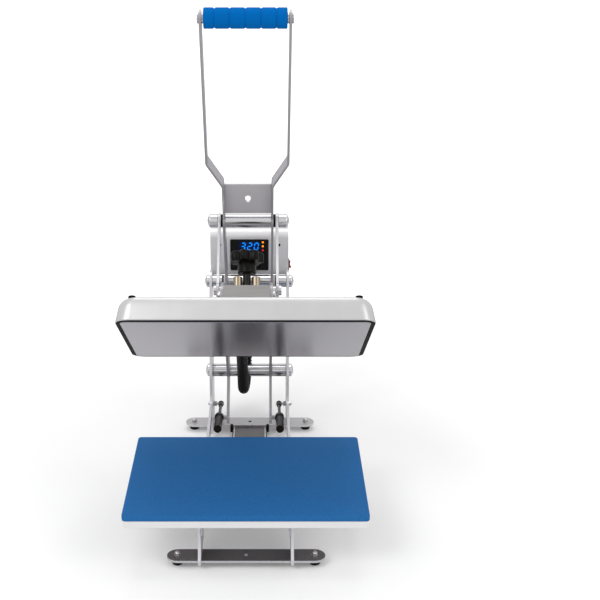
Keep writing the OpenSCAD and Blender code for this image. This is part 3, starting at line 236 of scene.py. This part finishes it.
# The crest finish is lighter than the hose's own black: a painted highlight on the rib crests.
hose_crest_painted_highlight = moulded("hose_crest_moulding", (0.012, 0.012, 0.012), 0.16, 0.05, 0.8)
black_rubber = moulded("black_rubber", (0.008, 0.007, 0.007), 0.6, 0.35, 0.06)
black_lacquer = new_finish("strut_black_lacquer", (0.013, 0.010, 0.010), 0.0, 0.32, 0.06, 8, 0.1, 0.4,
                           shine=0.08)
panel_film = new_finish("panel_film", (0.007, 0.007, 0.0065), 0.0, 0.38, 0.05, 10, 0.03, 0.4, shine=0.15)
window_film = new_finish("window_film", (0.002, 0.012, 0.075), 0.0, 0.2, 0.05, 10, 0.02, 0.4, shine=0.2)
bush_nylon = moulded("bush_nylon", (0.60, 0.59, 0.56), 0.45, 0.1, 0.4)
rocker_red = moulded("rocker_red", (0.42, 0.012, 0.014), 0.25, 0.05, 0.4)
board_green = moulded("board_green", (0.02, 0.12, 0.04), 0.35, 0.2, 0.4)
wool_board = moulded("wool_board", (0.6, 0.52, 0.36), 0.9, 0.8)
digit_glow = new_finish("digit_glow", (0.0, 0.25, 1.0), 0.0, 0.4, 0.02, 5, 0.0, 0.5, glow=1.0, shine=0.1)
lamp_amber = lit("lamp_amber", (1.0, 0.26, 0.01), 1.1)
lamp_red = lit("lamp_red", (0.75, 0.012, 0.01), 0.3)
pad_silicone = new_finish("pad_silicone", (0.021, 0.149, 0.405), 0.0, 0.7, 0.3, 2.4, 0.8, 0.9, shine=0.12)
grip_foam = new_finish("grip_foam", (0.0, 0.135, 0.47), 0.0, 0.8, 0.14, 1.6, 0.6, 0.6, shine=0.04)


# Ways of making a piece


def piece(name, bm, finish, body, sharp=35):
    """A finished piece of the press, riding on its body. A piece that bends across a joint is given none."""
    bmesh.ops.recalc_face_normals(bm, faces=bm.faces)
    mesh = bpy.data.meshes.new(name)
    bm.to_mesh(mesh)
    bm.free()
    mesh.materials.append(finish)
    mesh.polygons.foreach_set("use_smooth", [True] * len(mesh.polygons))
    mesh.set_sharp_from_angle(angle=math.radians(sharp))
    made = linked(name, mesh)
    if body:
        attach(made, body)
    return made


def finished_part(node, finish, edge, rim=None):
    """A CAD part merged into one skin, with its sharp edges broken, and a second finish on its upright rim
    faces.
    """
    bm = bmesh.new()
    bm.from_mesh(nodes[node].data)
    bmesh.ops.remove_doubles(bm, verts=bm.verts, dist=0.00001)
    bmesh.ops.dissolve_limit(bm, angle_limit=math.radians(0.6), verts=bm.verts, edges=bm.edges)
    for face in bm.faces:
        face.material_index = 1 if rim and abs(face.normal.z) < 0.5 else 0
    made = piece(node + "_part", bm, finish, carrier[node])
    if rim:
        made.data.materials.append(rim)
    worn = made.modifiers.new("broken_edges", "BEVEL")
    worn.width = edge * MM
    worn.segments = 2
    worn.limit_method = "ANGLE"
    worn.angle_limit = math.radians(35)
    worn.use_clamp_overlap = True
    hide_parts(node)


def turned_piece(profile, at, steps=48):
    """A solid turned on a lathe from [radius, height] steps in millimetres, then put at the matrix."""
    bm = bmesh.new()
    verts = [bm.verts.new((r * MM, 0, h * MM)) for r, h in profile]
    edges = [bm.edges.new(pair) for pair in zip(verts, verts[1:])]
    bmesh.ops.spin(bm, geom=verts + edges, cent=(0, 0, 0), axis=(0, 0, 1), angle=math.tau, steps=steps,
                   use_merge=True)
    bmesh.ops.remove_doubles(bm, verts=bm.verts, dist=0.000001)
    bmesh.ops.transform(bm, matrix=at, verts=bm.verts)
    return bm


def block(corner_low, corner_high, round_edges=0.0, corner=0.0, corner_steps=6):
    """A block between two corners across, forward and up in millimetres, its uprights and edges rounded."""
    a, b = place(*corner_low), place(*corner_high)
    bm = bmesh.new()
    bmesh.ops.create_cube(bm, size=1)
    size = (abs(b.x - a.x), abs(b.y - a.y), abs(b.z - a.z))
    fit = Matrix.Translation((a + b) / 2) @ Matrix.Diagonal((*size, 1))
    bmesh.ops.transform(bm, matrix=fit, verts=bm.verts)
    if corner:
        uprights = [e for e in bm.edges if abs(e.verts[0].co.z - e.verts[1].co.z) > size[2] / 2]
        bmesh.ops.bevel(bm, geom=uprights, offset=corner * MM, segments=corner_steps, profile=0.5,
                        affect="EDGES", material=-1)
    if round_edges:
        ends = [e for e in bm.edges if len(e.link_faces) == 2 and e.calc_face_angle(0) > math.radians(60)]
        bmesh.ops.bevel(bm, geom=ends, offset=round_edges * MM, segments=3, profile=0.5,
                        affect="EDGES", material=-1)
    return bm


def drawn_up(bm, top, levels, centre):
    """Draws a face up through levels of [height, share of its first width, share of its first depth]."""
    last_w = last_d = 1.0
    for up, wide, deep in levels:
        grown = bmesh.ops.extrude_face_region(bm, geom=top)["geom"]
        bmesh.ops.delete(bm, geom=top, context="FACES_ONLY")
        top = [g for g in grown if isinstance(g, bmesh.types.BMFace)]
        moved = list({v for f in top for v in f.verts})
        rise = up * MM - moved[0].co.z
        move = (Matrix.Translation(centre + Vector((0, 0, rise)))
                @ Matrix.Diagonal((wide / last_w, deep / last_d, 1, 1)) @ Matrix.Translation(-centre))
        bmesh.ops.transform(bm, matrix=move, verts=moved)
        last_w, last_d = wide, deep
    return top


# Cable conduit


def swing_open(forward, up):
    """Where a place on the closed arm lies when the arm is open."""
    p = open_arm @ place(0, forward, up)
    return HINGE_Y - p.y / MM, p.z / MM


GLAND_STEP = 21
gland_f = PAD_CENTRE_F - CASING_HALF_D + 1.2
start_f, start_h = swing_open(gland_f - 10.3, CASING_BOTTOM_H + 19.7)
out_f, out_h = -GLAND_STEP * math.cos(ARM_OPEN), -GLAND_STEP * math.sin(ARM_OPEN)
# Out of the gland on the casing, down in front of the hinge, through the loop and up to the box
route = [(HEATER_GLAND_X, start_f + n * out_f, start_h + n * out_h) for n in (-1, 0, 1)]
route += [(HEATER_GLAND_X, 184, 247), (HEATER_GLAND_X, 160, 229), (HEATER_GLAND_X, 136, 209),
          (HEATER_GLAND_X, 112, 187), (HEATER_GLAND_X, 90, 163), (HEATER_GLAND_X, 70, 137),
          (HEATER_GLAND_X, 50, 113), (-11, 24, 99), (-9, -5, 97), (-7, -29, 111),
          (BOX_GLAND_X, -44, 136), (BOX_GLAND_X, -54, 165), (BOX_GLAND_X, -62, 195), (BOX_GLAND_X, -69, 225),
          (BOX_GLAND_X, -75, 255), (BOX_GLAND_X, -80, 282), (BOX_GLAND_X, -80, 303), (BOX_GLAND_X, -80, 324)]
stations = [place(*p) for p in route]


def along_route(steps):
    """Points on a smooth line through the stations, that many to each span."""
    line = []
    for a, b, c, d in zip(stations, stations[1:], stations[2:], stations[3:]):
        for i in range(steps):
            t = i / steps
            line.append((2 * b + (c - a) * t + (2 * a - 5 * b + 4 * c - d) * t * t
                         + (3 * b - a - 3 * c + d) * t * t * t) / 2)
    return line + [stations[-2]]


def hose(name, line, radii, crest_r, finish, crest):
    """A round hose along a line, one ring to each point, with a second, lighter finish on the crests of its
    ribs as a painted highlight.
    """
    sides = 24
    bm = bmesh.new()
    ring = bmesh.ops.create_circle(bm, cap_ends=False, radius=1, segments=sides)["verts"]
    loop = list({e for v in ring for e in v.link_edges})
    here = Matrix()
    for i, (p, r) in enumerate(zip(line, radii)):
        way = (line[min(i + 1, len(line) - 1)] - line[max(i - 1, 0)]).normalized()
        level = way.cross(Vector((1, 0, 0))).normalized()
        side = level.cross(way)
        there = (Matrix.Translation(p) @ Matrix((side, level, way)).transposed().to_4x4()
                 @ Matrix.Scale(r, 4))
        if i:
            new = bmesh.ops.extrude_edge_only(bm, edges=loop)["geom"]
            for face in (g for g in new if isinstance(g, bmesh.types.BMFace)):
                face.material_index = 1 if min(r, radii[i - 1]) > crest_r else 0
            ring = [g for g in new if isinstance(g, bmesh.types.BMVert)]
            loop = [g for g in new if isinstance(g, bmesh.types.BMEdge)]
        bmesh.ops.transform(bm, matrix=there @ here.inverted(), verts=ring)
        here = there
    bmesh.ops.holes_fill(bm, edges=[e for e in bm.edges if e.is_boundary], sides=sides)
    made = piece(name, bm, finish, None, sharp=30)
    made.data.materials.append(crest)
    return made


# Radii over one rib, up to its crest and down into the groove
RIB = [10.5, 10.5, 10.0, 8.6, 8.6, 10.0]
# Faces outside this radius take the lighter crest finish, the painted highlight.
CREST_R = 10.3
hose_line = along_route(5 * len(RIB))
hose_radii = [RIB[i % len(RIB)] * MM for i in range(len(hose_line))]
conduit = hose("ribbed_conduit", hose_line, hose_radii, CREST_R * MM, hose_moulding, hose_crest_painted_highlight)
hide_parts("conduit")
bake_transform(conduit)


# Foam grip and silicone pad

# Where the grooves lie along the grip, as shares of its length
GROOVE_SHARES = (-0.37, -0.187, 0, 0.187, 0.37)

low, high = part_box("foam_grip")
across = Matrix.Translation((Vector(low) + Vector(high)) / 2) @ LIE_ACROSS
groove = [(FOAM_R, -2.6), (16.2, -1.7), (15.4, -0.9), (14.9, 0), (15.4, 0.9), (16.2, 1.7), (FOAM_R, 2.6)]
foam_profile = [(FOAM_BORE_R, -FOAM_HALF), (14.6, -FOAM_HALF), (16.0, 0.4 - FOAM_HALF),
                (FOAM_R, 1.4 - FOAM_HALF)]
for share in GROOVE_SHARES:
    foam_profile += [(r, 2 * FOAM_HALF * share + h) for r, h in groove]
foam_profile += [(FOAM_R, FOAM_HALF - 1.4), (16.0, FOAM_HALF - 0.4), (14.6, FOAM_HALF),
                 (FOAM_BORE_R, FOAM_HALF), (FOAM_BORE_R, -FOAM_HALF)]
foam = piece("foam_grip_sleeve", turned_piece(foam_profile, across, 64), grip_foam, "handle", sharp=60)
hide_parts("foam_grip")

pad = piece("silicone_pad_sheet",
            block((-PAD_HALF_W, PAD_CENTRE_F - PAD_HALF_D, PAD_UNDER_H),
                  (PAD_HALF_W, PAD_CENTRE_F + PAD_HALF_D, PAD_TOP_H), round_edges=1.4, corner=6),
            pad_silicone, "base", sharp=50)
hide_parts("silicone_pad")


# Upper casing, drawn up level by level and turned over at the top


def upper_casing_skin():
    """The casing as one open skin. A level is [height, inset at the sides, inset at the front and back]."""
    bm = block((-CASING_HALF_W, PAD_CENTRE_F - CASING_HALF_D, CASING_BOTTOM_H + 2),
               (CASING_HALF_W, PAD_CENTRE_F + CASING_HALF_D, CASING_BOTTOM_H + 4), corner=24, corner_steps=12)
    under = [f for f in bm.faces if f.normal.z < -0.9]
    bmesh.ops.delete(bm, geom=under, context="FACES_ONLY")
    levels = [(6, 0.3, 0.1), (16, 2.2, 0.7), (25.5, 3.8, 1.3), (31, 5.8, 1.9), (35.2, 8.4, 2.8),
              (38.2, 11.6, 4.1), (40.0, 15.2, 6.0), (40.8, 18.2, 7.8), (41, 21, 9.6)]
    drawn_up(bm, [f for f in bm.faces if f.normal.z > 0.9],
             [(CASING_BOTTOM_H + up, 1 - side / CASING_HALF_W, 1 - front / CASING_HALF_D)
              for up, side, front in levels],
             place(0, PAD_CENTRE_F, 0))
    bmesh.ops.transform(bm, matrix=open_arm, verts=bm.verts)
    return bm


casing = piece("upper_casing_shell", upper_casing_skin(), casing_lacquer, "platen", sharp=45)
wall = casing.modifiers.new("wall", "SOLIDIFY")
wall.thickness = 2 * MM
wall.offset = -1
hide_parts("upper_casing")

CAP_X = 179.5
CAP_FORWARD = 121
cap_profile = [(0, -1), (6, -1), (6, 4.2), (5.6, 5.0), (4.6, 5.5), (3, 5.75), (0, 5.85)]
for side, hand in SIDES:
    at = open_arm @ Matrix.Translation(place(side * CAP_X, PAD_CENTRE_F + CAP_FORWARD, CASING_TOP_H))
    cap = piece(f"casing_cap_{hand}", turned_piece(cap_profile, at, 32), black_moulding, "platen")
    if side < 0:
        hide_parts("casing_caps")


# Pressure knob with its seven lobes, and its threaded screw

KNOB_LOBES = 7
HEAD_FOOT = 20
ORIGIN = Vector((0, 0, 0))


def lobed_head():
    """The knob's head: a disc whose rim is pulled out into lobes, drawn up and rounded over."""
    bm = bmesh.new()
    bmesh.ops.create_circle(bm, cap_ends=True, radius=1, segments=24 * KNOB_LOBES)
    for v in bm.verts:
        wave = (0.5 + 0.5 * math.cos(KNOB_LOBES * math.atan2(v.co.y, v.co.x))) ** 0.75
        reach = (20.4 + 6.9 * wave) * MM
        v.co = Vector((v.co.x * reach, v.co.y * reach, HEAD_FOOT * MM))
    foot = bmesh.ops.extrude_face_region(bm, geom=list(bm.faces))["geom"]
    top = [g for g in foot if isinstance(g, bmesh.types.BMFace)]
    top = drawn_up(bm, top, [(21.5, 1.045, 1.045), (33.2, 1.045, 1.045), (35.4, 1.025, 1.025),
                             (36.7, 0.98, 0.98), (37.5, 0.9, 0.9)], ORIGIN)
    bmesh.ops.inset_region(bm, faces=top, thickness=7 * MM, depth=-1.2 * MM)
    return bm


knob_foot = screw_foot @ Matrix.Translation((0, 0, (BLOCK_RISE + KNOB_SHOW) * MM))
knob_head = lobed_head()
bmesh.ops.transform(knob_head, matrix=knob_foot, verts=knob_head.verts)
knob = piece("pressure_knob_head", knob_head, black_moulding, "knob", sharp=50)
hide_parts("pressure_knob")
hub_profile = [(7.2, 0), (14.4, 0), (15.5, 1.2), (15.5, 15), (14.6, 17.5), (14.6, 20.2), (7.2, 20.2),
               (7.2, 0)]
piece("pressure_knob_hub", turned_piece(hub_profile, knob_foot), black_moulding, "knob")

THREAD_PITCH = 2
THREAD_TURNS = 37
THREAD_ROOT_R = 5.9
THREAD_CREST_R = 7.0
SCREW_END = 84
thread = [(0, 6.3), (5.6, 6.3)]
for i in range(THREAD_TURNS):
    h = 8 + THREAD_PITCH * i
    thread += [(THREAD_ROOT_R, h), (THREAD_CREST_R, h + 0.85), (THREAD_CREST_R, h + 1.15),
               (THREAD_ROOT_R, h + THREAD_PITCH)]
thread += [(THREAD_ROOT_R, SCREW_END), (0, SCREW_END)]
screw = piece("pressure_screw_thread", turned_piece(thread, screw_foot, 40), screw_steel, "knob", sharp=25)
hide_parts("pressure_screw")


# Bolts that hold the nut block, with hexagon sockets

BOLT_HEAD_R = 7
SOCKET_R = 2.9


def socket_bolt(at):
    """A bolt's round head with a hexagon socket, its underside at the origin of the matrix."""
    bm = bmesh.new()
    bmesh.ops.create_circle(bm, cap_ends=True, radius=BOLT_HEAD_R * MM, segments=48)
    bmesh.ops.translate(bm, vec=(0, 0, -MM), verts=bm.verts)
    head = bmesh.ops.extrude_face_region(bm, geom=list(bm.faces))["geom"]
    top = [g for g in head if isinstance(g, bmesh.types.BMFace)]
    top = drawn_up(bm, top, [(3.8, 1, 1), (4.3, 0.96, 0.96), (4.5, 0.88, 0.88)], ORIGIN)
    bmesh.ops.inset_region(bm, faces=top, thickness=1.6 * MM)
    for v in {v for f in top for v in f.verts}:
        way = math.atan2(v.co.y, v.co.x)
        reach = SOCKET_R * MM / math.cos(way % (math.pi / 3) - math.pi / 6)
        v.co.x, v.co.y = reach * math.cos(way), reach * math.sin(way)
    drawn_up(bm, top, [(1.8, 1, 1)], ORIGIN)
    bmesh.ops.transform(bm, matrix=at, verts=bm.verts)
    return bm


for side, hand in SIDES:
    for end, end_name in ((-BOLT_REACH, "rear"), (BOLT_REACH, "front")):
        at = (open_arm @ Matrix.Translation(place(side * BLOCK_HALF_W, PAD_CENTRE_F + end, BLOCK_MID_H))
              @ Matrix.Rotation(side * math.pi / 2, 4, "Y"))
        bolt = piece(f"{end_name}_block_bolt_{hand}", socket_bolt(at), bolt_steel, "arm", sharp=40)
        if side < 0 and end < 0:
            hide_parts("block_bolts")


# Display digits and lamps on the control panel

panel_face_f = BOX_FRONT_F + PANEL_T
window_mid_h = BOX_BOTTOM_H + PANEL_LIFT + PANEL_TALL - WINDOW_DROP - WINDOW_HALF_TALL


def glowing_bar(bm, x, up, upright):
    """One bar of a seven-bar digit."""
    made = bmesh.ops.create_circle(bm, cap_ends=True, radius=1, segments=6)["verts"]
    turn = Matrix.Rotation(math.pi / 2, 4, "Z") if upright else Matrix()
    stretch = Matrix.Diagonal((2.3, 0.85, 1, 1))
    bmesh.ops.transform(bm, matrix=Matrix.Translation((x, up, 0)) @ turn @ stretch, verts=made)


def digits():
    """The three digits, each bar lettered as on any seven-bar display and at [across, up, upright or not]."""
    bars = {"3": "abgcd", "2": "abged", "0": "abcdef"}
    spot = {"a": (0, 5.2, 0), "g": (0, 0, 0), "d": (0, -5.2, 0), "f": (-2.8, 2.6, 1), "b": (2.8, 2.6, 1),
            "e": (-2.8, -2.6, 1), "c": (2.8, -2.6, 1)}
    lean = 0.16
    bm = bmesh.new()
    for digit_x, digit in zip((-9.5, 0.5, 10.5), "320"):
        for bar in bars[digit]:
            x, up, upright = spot[bar]
            glowing_bar(bm, digit_x + x + lean * up, up, upright)
    made = bmesh.ops.extrude_face_region(bm, geom=list(bm.faces))["geom"]
    bmesh.ops.translate(bm, vec=(0, 0, 0.25), verts=[g for g in made if isinstance(g, bmesh.types.BMVert)])
    stand = (Matrix.Translation(place(0, panel_face_f + 0.5, window_mid_h)) @ FACE_FORWARD
             @ Matrix.Scale(1.3 * MM, 4))
    bmesh.ops.transform(bm, matrix=stand, verts=bm.verts)
    return bm


piece("display_digits", digits(), digit_glow, "base")
lamp_profile = [(0, -2), (2, -2), (2, 0.2), (1.8, 0.6), (1.2, 0.9), (0, 1.0)]
for lamp_name, step, glow in (("set", 1, lamp_amber), ("heat", 0, lamp_amber), ("timer", -1, lamp_red)):
    at = Matrix.Translation(place(LAMP_X, panel_face_f, window_mid_h + step * LAMP_PITCH)) @ FACE_FORWARD
    made = piece(f"{lamp_name}_lamp", turned_piece(lamp_profile, at, 24), glow, "base")
    if lamp_name == "heat":
        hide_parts("indicator_lamps")


# Domed nuts on the foot bars, each with its washer and stud

nut_profile = [(0, -11), (2.5, -11), (2.5, 0), (5.4, 0), (5.4, 0.9), (4.4, 0.9), (4.4, 3.6), (4.1, 4.8),
               (3.4, 5.9), (2.3, 6.7), (1.2, 7), (0, 7.1)]
for side, hand in SIDES:
    for bar_f, end_name in ((0, "rear"), (FRONT_BAR_F, "front")):
        at = Matrix.Translation(place(side * FOOT_HALF_SPACING, bar_f, FOOT_BAR_TOP_H))
        made = piece(f"{end_name}_foot_screw_{hand}", turned_piece(nut_profile, at, 32), bolt_steel, "base")
        if side < 0 and bar_f:
            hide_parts("foot_screws")


# Parts that keep their CAD shape, as [node, finish, width of its broken edges in millimetres]

for node, finish, edge in (
        ("side_plate_left", frame_lacquer, 0.5), ("side_plate_right", frame_lacquer, 0.5),
        ("rubber_feet", black_rubber, 0.8), ("stop_bumpers", black_rubber, 0.8),
        ("lower_platen", platen_alloy, 0.8), ("platen_brackets", bracket_zinc, 0.4),
        ("hinge_shafts", chrome, 0.3), ("shaft_spacers", chrome, 0.6), ("dome_nuts", chrome, 0.4),
        ("ball_studs", bolt_steel, 0.3), ("box_bracket", bracket_zinc, 0.4),
        ("control_box_shell", box_lacquer, 0.4), ("control_box_back", box_lacquer, 0.6),
        ("control_panel", panel_film, 0.3), ("display_window", window_film, 0.2),
        ("rocker_frame", black_moulding, 0.4), ("mains_inlet", black_moulding, 0.4),
        ("box_screws", black_moulding, 0.2), ("conduit_gland_box", black_moulding, 0.8),
        ("button_set", black_moulding, 0.4), ("button_up", black_moulding, 0.4),
        ("button_down", black_moulding, 0.4), ("power_rocker", rocker_red, 0.4),
        ("arm_plate_left", arm_lacquer, 0.5), ("arm_plate_right", arm_lacquer, 0.5),
        ("arm_centre_sleeve", chrome, 0.5), ("nut_block", block_steel, 0.8),
        ("guide_bushes", bush_brass, 0.5), ("gasket", black_rubber, 0.3), ("heated_plate", hot_face, 0.6),
        ("float_plate", block_steel, 0.5), ("conduit_gland_heater", black_moulding, 0.8),
        ("handle_bar_left", arm_lacquer, 0.5), ("handle_bar_right", arm_lacquer, 0.5),
        ("yoke_plate", yoke_lacquer_and_painted_shade, 0.4),
        ("handle_sleeves", chrome, 0.6), ("link_shaft", chrome, 0.6), ("lever_bushes", bush_nylon, 0.5),
        ("pivot_washers", black_rubber, 0.4), ("grip_rod", bolt_steel, 0.6), ("links", link_lacquer, 0.5),
        ("link_pins", chrome, 0.5), ("strut_rods", rod_steel, 0.3), ("strut_tubes", black_lacquer, 2.0)):
    finished_part(node, finish, edge)
# The foot bars' upright faces take the bright rim metal, a painted highlight.
finished_part("front_foot_bar", gunmetal, 0.6, bar_rim_painted_highlight)
finished_part("rear_foot_bar", rear_bar_lacquer, 0.6, bar_rim_painted_highlight)
finished_part("base_tongue", tongue_painted_shade, 0.5)

# Raised beads along the tongue's sides, in the bright rim metal: strips put there as a painted highlight for
# the lit front edge of the rear foot bar.
BEAD_X = 31
BEAD_HALF_W = 1
BEAD_REAR_F = 18.2
BEAD_RISE = 1.5
BEAD_SINK = 0.5
for side, hand in SIDES:
    bead = block((side * BEAD_X - BEAD_HALF_W, BEAD_REAR_F, TONGUE_TOP_H - BEAD_SINK),
                 (side * BEAD_X + BEAD_HALF_W, TONGUE_END_F - 0.5, TONGUE_TOP_H + BEAD_RISE), round_edges=0.5)
    piece(f"tongue_highlight_bead_{hand}", bead, bar_rim_painted_highlight, "base")

# Parts shut inside keep their CAD mesh
for node, finish in (("controller_board", board_green), ("heating_element", bolt_steel),
                     ("insulation", wool_board)):
    nodes[node].data.materials.clear()
    nodes[node].data.materials.append(finish)


# Floor, backdrop and lamps


def white_ground():
    """A white floor with a painted glow to the camera: low near the press so its shadow shows, and rising to
    the backdrop's white further out.
    """
    m, tree, skin = blank_material("white_ground")
    link = tree.links.new
    put(skin, {"Base Color": (0.9, 0.9, 0.9, 1), "Roughness": 0.9, "Emission Color": (1, 1, 1, 1)})
    where = tree.nodes.new("ShaderNodeTexCoord")
    away = tree.nodes.new("ShaderNodeVectorMath")
    away.operation = "LENGTH"
    link(where.outputs["Object"], away.inputs[0])
    # Painted light: the glow grows with distance from the press, standing in for lamp light that falls off
    # across the floor.
    fade = tree.nodes.new("ShaderNodeMapRange")
    fade.interpolation_type = "SMOOTHSTEP"
    put(fade, {"From Min": 0.3, "From Max": 1.6, "To Min": 0.14, "To Max": 0.8})
    link(away.outputs["Value"], fade.inputs["Value"])
    ray = tree.nodes.new("ShaderNodeLightPath")
    lift = tree.nodes.new("ShaderNodeMath")
    lift.operation = "MULTIPLY"
    link(ray.outputs["Is Camera Ray"], lift.inputs[0])
    link(fade.outputs["Result"], lift.inputs[1])
    link(lift.outputs["Value"], skin.inputs["Emission Strength"])
    return m


ground = bmesh.new()
bmesh.ops.create_grid(ground, x_segments=1, y_segments=1, size=20)
ground_mesh = bpy.data.meshes.new("ground")
ground.to_mesh(ground_mesh)
ground.free()
ground_mesh.materials.append(white_ground())
floor = linked("ground", ground_mesh)

# The backdrop is full white to the camera and in reflections, and dimmer as a light
world = bpy.data.worlds.new("studio")
bpy.context.scene.world = world
world.use_nodes = True
air = world.node_tree
sky = air.nodes["Background"]
rays = air.nodes.new("ShaderNodeLightPath")
seen = air.nodes.new("ShaderNodeMath")
seen.operation = "MAXIMUM"
air.links.new(rays.outputs["Is Camera Ray"], seen.inputs[0])
air.links.new(rays.outputs["Is Glossy Ray"], seen.inputs[1])
level = air.nodes.new("ShaderNodeMapRange")
put(level, {"To Min": 0.55, "To Max": 1.0})
air.links.new(seen.outputs["Value"], level.inputs["Value"])
air.links.new(level.outputs["Result"], sky.inputs["Strength"])
put(sky, {"Color": (1, 1, 1, 1)})


def soft_lamp(name, spot, aim, size, watts):
    """A rectangular lamp at one point, turned to another, in metres."""
    light = bpy.data.lights.new(name, "AREA")
    light.shape = "RECTANGLE"
    light.size, light.size_y = size
    light.energy = watts
    holder = linked(name, light)
    holder.location = spot
    holder.rotation_euler = (Vector(aim) - Vector(spot)).to_track_quat("-Z", "Y").to_euler()


soft_lamp("key_lamp", (-1.6, -1.8, 2.4), (0, 0, 0.3), (1.4, 1.4), 28)
soft_lamp("fill_lamp", (1.9, -1.2, 1.6), (0, 0, 0.4), (1.2, 1.6), 12)
soft_lamp("top_lamp", (0, 0.6, 2.6), (0, 0, 0.3), (1.6, 1.6), 16)
